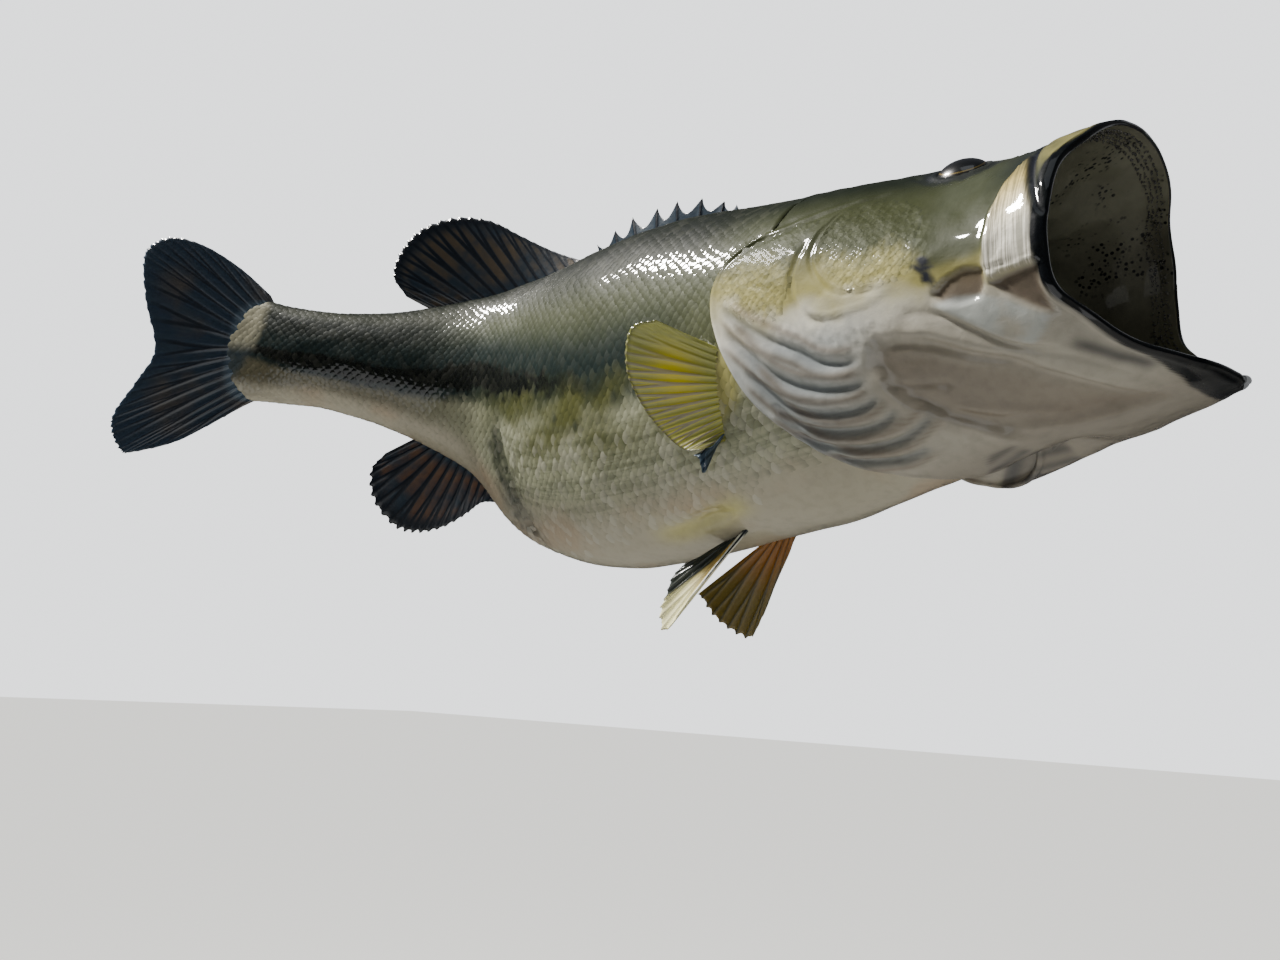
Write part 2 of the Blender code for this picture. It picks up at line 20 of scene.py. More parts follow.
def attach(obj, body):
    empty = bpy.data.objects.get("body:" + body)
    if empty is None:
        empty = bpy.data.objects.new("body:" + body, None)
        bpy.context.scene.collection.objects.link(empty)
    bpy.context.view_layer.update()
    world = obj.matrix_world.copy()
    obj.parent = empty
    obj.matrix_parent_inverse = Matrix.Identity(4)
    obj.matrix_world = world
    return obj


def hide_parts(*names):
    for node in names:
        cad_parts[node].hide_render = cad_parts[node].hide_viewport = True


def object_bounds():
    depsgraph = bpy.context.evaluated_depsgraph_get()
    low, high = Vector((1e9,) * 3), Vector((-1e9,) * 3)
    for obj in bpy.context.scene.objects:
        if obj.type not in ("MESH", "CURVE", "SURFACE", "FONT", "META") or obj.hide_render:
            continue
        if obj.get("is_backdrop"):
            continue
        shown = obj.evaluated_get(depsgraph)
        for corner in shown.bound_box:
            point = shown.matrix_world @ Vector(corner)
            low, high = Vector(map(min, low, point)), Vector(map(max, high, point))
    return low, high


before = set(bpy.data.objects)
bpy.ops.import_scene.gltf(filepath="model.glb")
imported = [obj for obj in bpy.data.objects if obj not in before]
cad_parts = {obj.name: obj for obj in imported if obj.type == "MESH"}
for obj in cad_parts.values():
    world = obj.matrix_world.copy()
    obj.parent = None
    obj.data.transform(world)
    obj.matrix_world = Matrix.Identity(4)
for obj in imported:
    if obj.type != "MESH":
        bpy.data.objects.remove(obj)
CAD_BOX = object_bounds()
LOG = logging.getLogger("bass")

Array = np.ndarray
Points = Sequence[Sequence[float]]
Triple = tuple[float, float, float]
Colour = Triple
Piece = bpy.types.Object
Material = bpy.types.Material

LENGTH = 0.572                      # closed snout to tail tips, metres along the spine
MM = 0.001 / LENGTH                 # one millimetre in parts of LENGTH
DEGREE_MM = 1.2                     # arc of one degree round the head, millimetres
FLAT = np.array((1.0 / MM, DEGREE_MM))      # turns (x, angle) into millimetres
SIDES = (("right", 1.0), ("left", -1.0))
SEED = 22


# ---- curves
def smooth(low: float, high: float, value: Array) -> Array:
    """Ease from 0 at low to 1 at high.

    Args:
        low: where the rise starts.
        high: where it ends; below low, the value falls instead.
        value: where to read it.

    Returns:
        The eased share, 0 to 1.
    """
    step = np.clip((value - low) / (high - low), 0.0, 1.0)
    return step * step * (3.0 - 2.0 * step)


def bell(value: Array, width: float) -> Array:
    """A smooth bump that is 1 at value 0 and falls away over width."""
    return np.exp(-(value / width) ** 2)


def spline(at: Array, value: Array, where: Array) -> Array:
    """Read a smooth curve through known points.

    Args:
        at: rising positions of the known points.
        value: their heights.
        where: the positions to read.

    Returns:
        The height at each position.
    """
    where = np.clip(where, at[0], at[-1])
    slope = np.gradient(value, at)
    left = np.clip(np.searchsorted(at, where) - 1, 0, len(at) - 2)
    width = at[left + 1] - at[left]
    t = (where - at[left]) / width
    start = (2 * t**3 - 3 * t**2 + 1) * value[left] + (t**3 - 2 * t**2 + t) * width * slope[left]
    end = (3 * t**2 - 2 * t**3) * value[left + 1] + (t**3 - t**2) * width * slope[left + 1]
    return start + end


def path(points: Points, share: Array) -> Array:
    """Points of the smooth path through some points.

    Args:
        points: the points that it passes through.
        share: shares 0 to 1 of the way.

    Returns:
        One point for each share.
    """
    table = np.array(points, float)
    knots = np.linspace(0.0, 1.0, len(table))
    return np.stack([spline(knots, column, share) for column in table.T], axis=-1)


def point_of(x: Array, y: Array, z: Array) -> Array:
    """Points from their three parts."""
    return np.stack(np.broadcast_arrays(x, y, z), axis=-1)


def fold(angle: Array) -> Array:
    """The angle down from the back on either side, 0 to 180."""
    return 180.0 - np.abs(180.0 - np.abs(angle))


def flattened(x: Array, angle: Array) -> Array:
    """Places on the body laid out flat, in millimetres."""
    return np.stack(np.broadcast_arrays(x, angle), axis=-1) * FLAT


def apart(x: Array, angle: Array, spot: Sequence[float]) -> Array:
    """Millimetres over the body from a spot, given as (x, angle)."""
    return np.hypot((x - spot[0]) / MM, (angle - spot[1]) * DEGREE_MM)


def moved(points: Points, x: float, angle: float) -> Points:
    """A curve moved along the body and round it."""
    return tuple((point[0] + x, point[1] + angle) for point in points)


def to_piece(here: Array, start: Array, end: Array) -> tuple[Array, Array, Array, Array]:
    """Measure how far places are from one straight piece of a line.

    Args:
        here: the places.
        start: where the piece starts.
        end: where it ends.

    Returns:
        The piece's run, each place's offset from its start, share along it and distance.
    """
    along = end - start
    offset = here - start
    share = np.clip(offset @ along / (along @ along), 0.0, 1.0)
    return along, offset, share, np.linalg.norm(offset - share[..., None] * along, axis=-1)


@dataclass(frozen=True)
class Distance:
    """How far places on the body are from a curve drawn on it."""

    gap: Array                      # millimetres, positive on the side where a plate stands
    share: Array                    # 0 to 1 along the curve, at its nearest point

    def ends(self, start: float, stop: float) -> Array:
        """1 along the curve, eased to 0 before the share start and after the share stop."""
        return smooth(0.0, start, self.share) * smooth(1.0, stop, self.share)


def distance(points: Points, x: Array, angle: Array, steps: int = 20) -> Distance:
    """Measure how far places are from a smooth curve.

    Args:
        points: the curve's points, as (x, angle).
        x: places along the spine.
        angle: their angles down from the back.
        steps: straight pieces that the curve is measured by.

    Returns:
        The signed gaps and the shares along the curve.
    """
    line = path(points, np.linspace(0.0, 1.0, steps + 1)) * FLAT
    here = flattened(x, angle)
    nearest = np.full(here.shape[:-1], np.inf)
    sign = np.ones_like(nearest)
    share = np.zeros_like(nearest)
    for step, (start, end) in enumerate(zip(line[:-1], line[1:])):
        along, offset, t, gap = to_piece(here, start, end)
        closer = gap < nearest
        cross = along[1] * offset[..., 0] - along[0] * offset[..., 1]
        nearest = np.where(closer, gap, nearest)
        sign = np.where(closer, np.sign(cross), sign)
        share = np.where(closer, (step + t) / steps, share)
    return Distance(nearest * sign, share)


def region(outline: Points, x: Array, angle: Array, soft: float) -> Array:
    """1 inside an outline drawn on the body and 0 outside, eased over a soft edge.

    Args:
        outline: the corners as (x, angle).
        x: places along the spine.
        angle: their angles down from the back.
        soft: half the width of the edge, millimetres.

    Returns:
        The share of the region at each place.
    """
    corners = np.array(outline, float) * FLAT
    here = flattened(x, angle)
    nearest = np.full(here.shape[:-1], np.inf)
    inside = np.zeros(here.shape[:-1], bool)
    for start, end in zip(corners, np.roll(corners, -1, axis=0)):
        along, _, _, gap = to_piece(here, start, end)
        nearest = np.minimum(nearest, gap)
        spans = (start[1] > here[..., 1]) != (end[1] > here[..., 1])
        rise = end[1] - start[1] if end[1] != start[1] else 1.0
        crossing = start[0] + (here[..., 1] - start[1]) / rise * along[0]
        inside ^= spans & (here[..., 0] < crossing)
    return smooth(-soft, soft, np.where(inside, nearest, -nearest))


def ripple(x: Array, angle: Array, size: float, seed: float) -> Array:
    """An uneven wave over the body, from -1 to 1.

    Args:
        x: places along the spine.
        angle: their angles down from the back.
        size: millimetres from crest to crest.
        seed: a number that shifts the pattern.

    Returns:
        The height of the wave.
    """
    across = x / MM * 2.0 * math.pi / size
    down = angle * DEGREE_MM * 2.0 * math.pi / size
    first = np.sin(across + 1.3 * np.sin(0.61 * down + seed))
    second = np.sin(down * 0.83 + 1.7 * np.sin(0.47 * across + 2.0 * seed))
    third = np.sin(0.71 * across - 0.59 * down + 3.0 * seed)
    return (first + second + third) / 3.0


# ---- the fish's form
@dataclass(frozen=True)
class Form:
    """The outline of the fish, as the solids have it, in parts of LENGTH and degrees."""

    gill_point: Triple = (0.067, -0.0755, -0.001)
    yaw: float = -11.0
    pitch: float = -0.9
    roll: float = -7.3
    neck_turn: Triple = (-4.8, -0.12, 0.05)
    tail_turn: Triple = (45.0, -0.17, -0.43)
    fin_turn: Triple = (-6.0, -0.43, -0.66)
    tail_lift: Triple = (-5.0, -0.15, -0.5)
    spine_span: tuple[float, float, int] = (-0.9, 0.5, 701)
    # x, top, bottom, half width, upper roundness, lower roundness, height of the widest line
    trunk: Points = (
        (-0.62, 0.057, -0.05, 0.009, 2, 2, 0.003),
        (-0.585, 0.056, -0.05, 0.014, 2, 2, 0.003),
        (-0.555, 0.053, -0.048, 0.021, 2, 2, 0.003),
        (-0.51, 0.054, -0.046, 0.028, 2, 2, 0.003),
        (-0.45, 0.064, -0.053, 0.037, 2, 2, 0.002),
        (-0.4, 0.079, -0.066, 0.045, 2, 2.1, 0.004),
        (-0.34, 0.096, -0.096, 0.058, 2, 2.1, 0.004),
        (-0.3, 0.106, -0.138, 0.068, 2, 2.2, 0),
        (-0.24, 0.117, -0.168, 0.08, 2, 2.2, -0.01),
        (-0.17, 0.124, -0.179, 0.088, 2, 2.2, -0.015),
        (-0.1, 0.124, -0.174, 0.092, 2, 2.2, -0.018),
        (-0.03, 0.114, -0.163, 0.095, 2, 2.2, -0.018),
        (0.04, 0.1, -0.153, 0.095, 2, 2.1, -0.02),
        (0.1, 0.09, -0.141, 0.094, 2, 1.9, -0.02))
    head: Points = (
        (-0.01, 0.11, -0.15, 0.105, 2, 2.2, -0.018),
        (0.05, 0.098, -0.152, 0.104, 2, 2.2, -0.02),
        (0.1, 0.09, -0.151, 0.103, 1.9, 2.2, -0.02),
        (0.14, 0.084, -0.148, 0.103, 1.7, 2.2, -0.02),
        (0.175, 0.079, -0.139, 0.101, 1.6, 2.2, -0.02),
        (0.205, 0.072, -0.13, 0.099, 1.65, 2.2, -0.02),
        (0.23, 0.066, -0.121, 0.098, 1.9, 2.2, -0.02),
        (0.254, 0.065, -0.115, 0.097, 2.2, 2.2, -0.02),
        (0.268, 0.066, -0.111, 0.09, 2.2, 2.2, -0.02),
        (0.283, 0.066, -0.107, 0.084, 2.2, 2.2, -0.02),
        (0.3, 0.066, -0.102, 0.07, 2.2, 2.2, -0.026),
        (0.312, 0.066, -0.097, 0.036, 2.2, 2.2, -0.036),
        (0.314, 0.066, -0.096, 0.01, 2.2, 2.2, -0.04))
    throat: Points = (
        (0.055, 0.068, -0.15, 0.086, 2, 2.1, -0.02),
        (0.075, 0.067, -0.146, 0.083, 2, 2, -0.02),
        (0.09, 0.058, -0.143, 0.08, 2, 1.9, -0.02),
        (0.104, 0.02, -0.139, 0.072, 2, 1.9, -0.04),
        (0.118, -0.05, -0.135, 0.06, 2, 1.8, -0.08),
        (0.13, -0.083, -0.132, 0.052, 2, 1.8, -0.1),
        (0.15, -0.092, -0.126, 0.04, 2, 1.8, -0.108),
        (0.187, -0.102, -0.113, 0.01, 2, 1.8, -0.108))
    # angle, x
    gill_edge: Points = (
        (0, 0.06), (44, 0.062), (53, 0.058), (63, 0.025), (72, 0.015), (86, 0.016), (101, 0.031),
        (113, 0.048), (127, 0.077), (139, 0.105), (149, 0.136), (162, 0.168), (175, 0.192), (180, 0.196))
    mouth_rim: Points = (
        (0, 0.275), (20, 0.273), (42, 0.267), (54, 0.26), (75, 0.256), (90, 0.254), (105, 0.257),
        (115, 0.268), (130, 0.283), (142, 0.3), (152, 0.309), (165, 0.313), (180, 0.3135))
    tail_base: float = -0.577
    tail_bulge: float = 0.034
    notch: tuple[float, float, float, float] = (0.016, 0.02, 0.205, 0.25)
    lip_wall: float = 0.0036
    jaw_wall: float = 0.012
    palate: float = 0.02

    def spine(self) -> tuple[Array, Array]:
        """Bend the spine.

        Returns:
            Positions along it, and for each its place and its forward, side and up directions.
        """
        x = np.linspace(*self.spine_span)
        neck, start, stop = self.neck_turn
        yaw = self.yaw + neck * smooth(start, stop, x)
        turn, start, stop = self.tail_turn
        yaw = yaw + turn * (1.0 - smooth(stop, start, x))
        turn, start, stop = self.fin_turn
        yaw = np.radians(yaw + turn * (1.0 - smooth(stop, start, x)))
        lift, start, stop = self.tail_lift
        pitch = np.radians(self.pitch + lift * (1.0 - smooth(stop, start, x)))
        roll = math.radians(self.roll)
        forward = np.stack([np.cos(pitch) * np.cos(yaw), np.cos(pitch) * np.sin(yaw),
                            np.sin(pitch)], 1)
        level = np.stack([np.sin(yaw), -np.cos(yaw), 0.0 * yaw], 1)
        upright = np.cross(forward, -level)
        side = math.cos(roll) * level + math.sin(roll) * upright
        up = math.cos(roll) * upright - math.sin(roll) * level
        steps = 0.5 * (forward[1:] + forward[:-1]) * (x[1] - x[0])
        centre = np.vstack([np.zeros(3), np.cumsum(steps, axis=0)])
        origin = np.array([np.interp(0.0, x, centre[:, k]) for k in range(3)])
        place = LENGTH * (centre - origin) + np.array(self.gill_point)
        return x, np.hstack([place, forward, side, up])

    @staticmethod
    def columns(table: Points, x: Array, *numbers: int) -> list[Array]:
        """Some columns of a table, read along its first one."""
        rows = np.array(table, float)
        return [spline(rows[:, 0], rows[:, number], x) for number in numbers]

    def section(self, table: Points, x: Array, angle: Array, inset: Array = 0.0,
                crown: Array = 0.0) -> Array:
        """Points of a rounded body section.

        Args:
            table: one of the section tables.
            x: places along the spine.
            angle: angles round the body from the back.
            inset: how far inside the surface the points lie.
            crown: how much lower still the top of the section is.

        Returns:
            Points in the fish's own axes.
        """
        top, bottom, width, upper, lower, widest = self.columns(table, x, *range(1, 7))
        turn = np.radians(angle)
        cosine, sine = np.cos(turn), np.sin(turn)
        power = 2.0 / np.where(cosine > 0.0, upper, lower)
        reach = np.where(cosine > 0.0, top - crown - inset - widest, widest - bottom - inset)
        side = (width - inset) * np.sign(sine) * np.abs(sine) ** power
        height = widest + reach * np.sign(cosine) * np.abs(cosine) ** power
        return point_of(x, side, height)

    def head_point(self, x: Array, angle: Array, inset: Array = 0.0, crown: Array = 0.0) -> Array:
        """A point of the head, with the notch where the gill skins meet behind the chin.

        Args:
            x: places along the spine.
            angle: angles round the body from the back.
            inset: how far inside the surface the points lie.
            crown: how much lower still the top of the section is.

        Returns:
            Points in the fish's own axes.
        """
        point = self.section(self.head, x, angle, inset, crown)
        height, width, start, stop = self.notch
        near = bell(point[..., 1], width) * np.where(point[..., 2] < 0.0, 1.0, 0.0)
        point[..., 2] += height * (1.0 - smooth(start, stop, x)) * near
        return point

    def gill(self, angle: Array) -> Array:
        """x of the gill cover's rear edge, at an angle on either side."""
        return self.columns(self.gill_edge, fold(angle), 1)[0]

    def rim(self, angle: Array) -> Array:
        """x of the mouth's rim, at an angle on either side."""
        return self.columns(self.mouth_rim, fold(angle), 1)[0]

    def tail_end(self, angle: Array) -> Array:
        """x of the rounded end of the scaled tail base."""
        return self.tail_base - self.tail_bulge * np.abs(np.sin(np.radians(angle)))

    def flank(self, x: Array, z: Array) -> Array:
        """Half width of the trunk at a height.

        Args:
            x: places along the spine.
            z: heights in the fish's own axes.

        Returns:
            The half width at each place.
        """
        top, bottom, width, upper, lower, widest = self.columns(self.trunk, x, *range(1, 7))
        reach = np.where(z > widest, top - widest, widest - bottom)
        power = np.where(z > widest, upper, lower)
        return width * (1.0 - (np.abs(z - widest) / reach) ** power) ** (1.0 / power)

    def underside(self, x: Array, y: Array) -> Array:
        """Height of the belly at a distance from the middle."""
        bottom, width, lower, widest = self.columns(self.trunk, x, 2, 3, 5, 6)
        return widest - (widest - bottom) * (1.0 - np.abs(y / width) ** lower) ** (1.0 / lower)


FORM = Form()
SPINE_X, SPINE = FORM.spine()


def placed(points: Array) -> Array:
    """World places of points given in the fish's own axes.

    Args:
        points: the places in the fish's own axes.

    Returns:
        The same places in the world.
    """
    here = np.stack([np.interp(points[..., 0], SPINE_X, column) for column in SPINE.T], axis=-1)
    side = points[..., 1:2] * LENGTH * here[..., 6:9]
    up = points[..., 2:3] * LENGTH * here[..., 9:12]
    return here[..., 0:3] + side + up


# ---- relief of the head and body
@dataclass(frozen=True)
class Crease:
    """A ridge, a groove or the edge of a plate along a curve on the body.

    Sizes are millimetres. Points are (x, angle). A ridge has a positive height and a groove a
    negative one. A plate stands up beside the curve, on the side that is ahead of it or above it
    where the curve runs down or forward, and fades away over its reach.
    """

    points: Points
    height: float = 0.0
    width: float = 1.0
    plate: float = 0.0
    reach: float = 8.0
    fade: tuple[float, float] = (0.12, 0.12)

    def lift(self, x: Array, angle: Array) -> Array:
        """How far it lifts the surface.

        Args:
            x: places along the spine.
            angle: their angles down from the back.

        Returns:
            Heights in millimetres.
        """
        near = distance(self.points, x, angle)
        ends = near.ends(self.fade[0], 1.0 - self.fade[1])
        rise = self.height * bell(near.gap, self.width)
        if self.plate:
            step = smooth(-0.5 * self.width, 0.5 * self.width, near.gap)
            rise = rise + self.plate * step * np.exp(-np.maximum(near.gap, 0.0) / self.reach)
        return rise * ends


OUTER_EDGE = (
    (0.15, 33), (0.129, 41), (0.113, 49), (0.1019, 58.3), (0.0944, 66.4), (0.0894, 75.1), (0.09, 80.6),
    (0.0944, 87.8), (0.1026, 92.2), (0.1177, 93.6), (0.1359, 94), (0.1529, 92.7), (0.1661, 91),
    (0.1743, 90))
INNER_EDGE = (
    (0.119, 48.3), (0.109, 58), (0.1036, 67.5), (0.1055, 74.4), (0.113, 80.9), (0.123, 86), (0.136, 88.6),
    (0.1479, 89.3), (0.1586, 88.6))
COVER_TOP = (
    (0.166, 38.5), (0.1428, 41), (0.1277, 42.7), (0.1101, 45.6), (0.0887, 49.7), (0.0692, 53.4),
    (0.044, 57.2), (0.0264, 61.8), (0.0182, 66.4))
GILL_FOLDS = (
    ((0.0239, 81.5), (0.0434, 89.3), (0.0661, 95.1), (0.0887, 100), (0.1032, 104.3), (0.1227, 106.9),
     (0.1397, 106.3)),
    ((0.0252, 89.3), (0.0459, 96.5), (0.0629, 103.4), (0.0824, 108.9), (0.1057, 112.5), (0.1259, 113.4),
     (0.1391, 112.4)),
    ((0.044, 101.4), (0.0604, 109), (0.073, 114.6), (0.09, 118.7), (0.1133, 120.7), (0.134, 120),
     (0.1428, 117)),
    ((0.062, 113), (0.078, 120.5), (0.098, 125.4), (0.1221, 127.4), (0.14, 126.6), (0.154, 123)),
    ((0.073, 121.5), (0.085, 128), (0.1019, 132), (0.1246, 134), (0.1472, 134.2), (0.163, 131.7),
     (0.176, 127.5)),
    ((0.0906, 132.4), (0.1101, 137.9), (0.1315, 140.5), (0.1479, 141.6), (0.165, 140)))
JAW_EDGE = (
    (0.183, 98.3), (0.1982, 103.7), (0.2102, 108.7), (0.2215, 114.1), (0.2328, 118.8), (0.2448, 122),
    (0.254, 124))
HOLLOW = (
    (0.1479, 104.3), (0.1623, 106.1), (0.1819, 109.2), (0.1944, 113), (0.2064, 117.3), (0.2171, 120.8),
    (0.2253, 123.6), (0.2335, 129.3), (0.2479, 137), (0.2618, 147), (0.2819, 160.5), (0.2605, 159.6),
    (0.2391, 157), (0.2228, 152.6), (0.2064, 147.4), (0.1856, 138.2), (0.1699, 129.8), (0.1523, 121.1),
    (0.143, 110))
HOLLOW_TOP = HOLLOW[:11]
BASE_RIDGE = (
    (0.14, 106.5), (0.1523, 121.1), (0.1699, 129.8), (0.1856, 138.2), (0.2007, 147.1), (0.2121, 157.5))
CHIN_RIDGE = ((0.2007, 147.1), (0.2228, 152.6), (0.2391, 157.2), (0.2605, 160.3), (0.2819, 163))
JAW_CREASE = (
    (0.1668, 98.5), (0.1894, 101.5), (0.2089, 108.9), (0.2303, 119.5), (0.2567, 129), (0.276, 142),
    (0.29, 158))
PLATE_REAR = (
    (0.247, 36), (0.241, 47), (0.233, 53), (0.2259, 64), (0.2215, 76), (0.22, 86), (0.2205, 93.5))
PLATE_LOW = (
    (0.2202, 93.4), (0.2234, 96.4), (0.2303, 95.3), (0.2391, 95.1), (0.246, 94.8), (0.2505, 95.1))
LIP_GROOVE = ((0.244, 20), (0.2425, 37), (0.2442, 51.7), (0.2475, 65.3), (0.2507, 74.7), (0.254, 82))
POCKET = (
    (0.1875, 95.6), (0.196, 92.8), (0.2077, 91.4), (0.219, 92.8), (0.2192, 97.2), (0.216, 100.6),
    (0.2051, 100.8), (0.1945, 98.8))
SOFT_TRIANGLE = (
    (0.2225, 97.6), (0.231, 96.6), (0.24, 96.2), (0.2505, 96), (0.2503, 102), (0.254, 111.8),
    (0.246, 108.8), (0.2385, 105.2))
VENT_FOLD = (
    (-0.289, 98), (-0.2883, 111), (-0.2844, 117.3), (-0.2765, 124.3), (-0.2706, 132.4), (-0.2646, 139),
    (-0.2597, 146.5), (-0.2577, 158.4), (-0.26, 172))
CHEEK = (
    (0.119, 49), (0.111, 58), (0.1075, 66), (0.1095, 72), (0.116, 78), (0.1245, 83.5), (0.135, 88),
    (0.156, 89), (0.174, 87), (0.186, 82), (0.184, 66), (0.17, 53), (0.145, 46.5))
COVER = (
    (0.082, 53.5), (0.052, 58.5), (0.03, 63.5), (0.023, 70), (0.0235, 80), (0.042, 86.5), (0.062, 90.5),
    (0.08, 90), (0.0845, 82), (0.083, 74), (0.085, 66), (0.093, 58.5), (0.101, 53))
WET_PATCH = (
    (0.11, 97), (0.13, 98.5), (0.148, 98), (0.156, 101), (0.147, 105.5), (0.125, 104), (0.105, 101),
    (0.07, 96), (0.07, 91), (0.088, 92.5))

CREASES = (
    Crease(OUTER_EDGE, height=0.55, width=0.9, plate=1.1, reach=12.0, fade=(0.3, 0.5)),
    Crease(moved(OUTER_EDGE[3:11], -0.003, 0.4), height=-0.8, width=1.6, fade=(0.2, 0.4)),
    Crease(INNER_EDGE, height=0.6, width=0.8),
    Crease(moved(INNER_EDGE, -0.0022, 0.6), height=-0.7, width=1.0),
    Crease(COVER_TOP, height=0.5, width=1.2),
    Crease(moved(COVER_TOP[1:], 0.001, 2.2), height=-0.45, width=1.5),
    Crease(moved(COVER_TOP[2:7], 0.003, -3.4), height=-0.35, width=1.8),
    Crease(JAW_EDGE, height=-0.9, width=1.2, plate=1.5, reach=14.0, fade=(0.12, 0.2)),
    Crease(HOLLOW_TOP, height=-1.3, width=2.4, fade=(0.1, 0.15)),
    Crease(moved(HOLLOW_TOP[1:8], -0.001, -4.0), height=0.8, width=2.6),
    Crease(BASE_RIDGE, height=1.0, width=1.9, fade=(0.15, 0.2)),
    Crease(moved(BASE_RIDGE[1:], 0.006, -1.0), height=-0.8, width=2.2),
    Crease(CHIN_RIDGE, height=1.1, width=2.4, fade=(0.1, 0.3)),
    Crease(JAW_CREASE, height=-0.5, width=1.4, fade=(0.05, 0.4)),
    Crease(PLATE_REAR, height=0.3, width=1.0, plate=1.3, reach=7.0, fade=(0.25, 0.02)),
    Crease(PLATE_LOW, height=0.4, width=0.8, plate=1.0, reach=6.0, fade=(0.05, 0.05)),
    Crease(LIP_GROOVE, height=-1.5, width=1.1, fade=(0.1, 0.02)),
    Crease(((0.1384, 22.0), (0.153, 32.0), (0.167, 39.5), (0.1825, 42.0), (0.196, 40.0)),
           height=-0.55, width=0.9),
    Crease(((0.145, 26.0), (0.156, 33.0), (0.168, 37.0), (0.179, 38.8)), height=-0.45, width=0.7),
    Crease(((0.05, 75.5), (0.057, 77.5), (0.066, 79.5), (0.074, 83.0)), height=-0.35, width=0.5),
    Crease(((0.1485, 108.0), (0.1724, 109.5), (0.1957, 116.0), (0.2133, 121.5), (0.23, 127.0)),
           height=0.6, width=2.0),
    Crease(((0.145, 116.0), (0.16, 119.0), (0.176, 121.0), (0.19, 124.5)), height=-0.5,
           width=1.6),
    Crease(((0.175, 130.0), (0.19, 133.0), (0.205, 138.0), (0.225, 146.0), (0.245, 156.0)),
           height=0.8, width=2.4),
    Crease(VENT_FOLD, height=-3.2, width=3.6, plate=1.6, reach=16.0, fade=(0.25, 0.1)),
    Crease(moved(VENT_FOLD[2:8], 0.014, 1.0), height=-0.9, width=1.8),
    Crease(moved(VENT_FOLD[1:7], -0.012, 1.5), height=-0.9, width=1.8),
    Crease(moved(VENT_FOLD[3:7], 0.025, 1.0), height=-0.5, width=1.4),
    Crease(((-0.105, 148.5), (-0.075, 151.0), (-0.045, 149.0), (-0.012, 146.5)), height=-2.6,
           width=4.5, fade=(0.4, 0.3)))


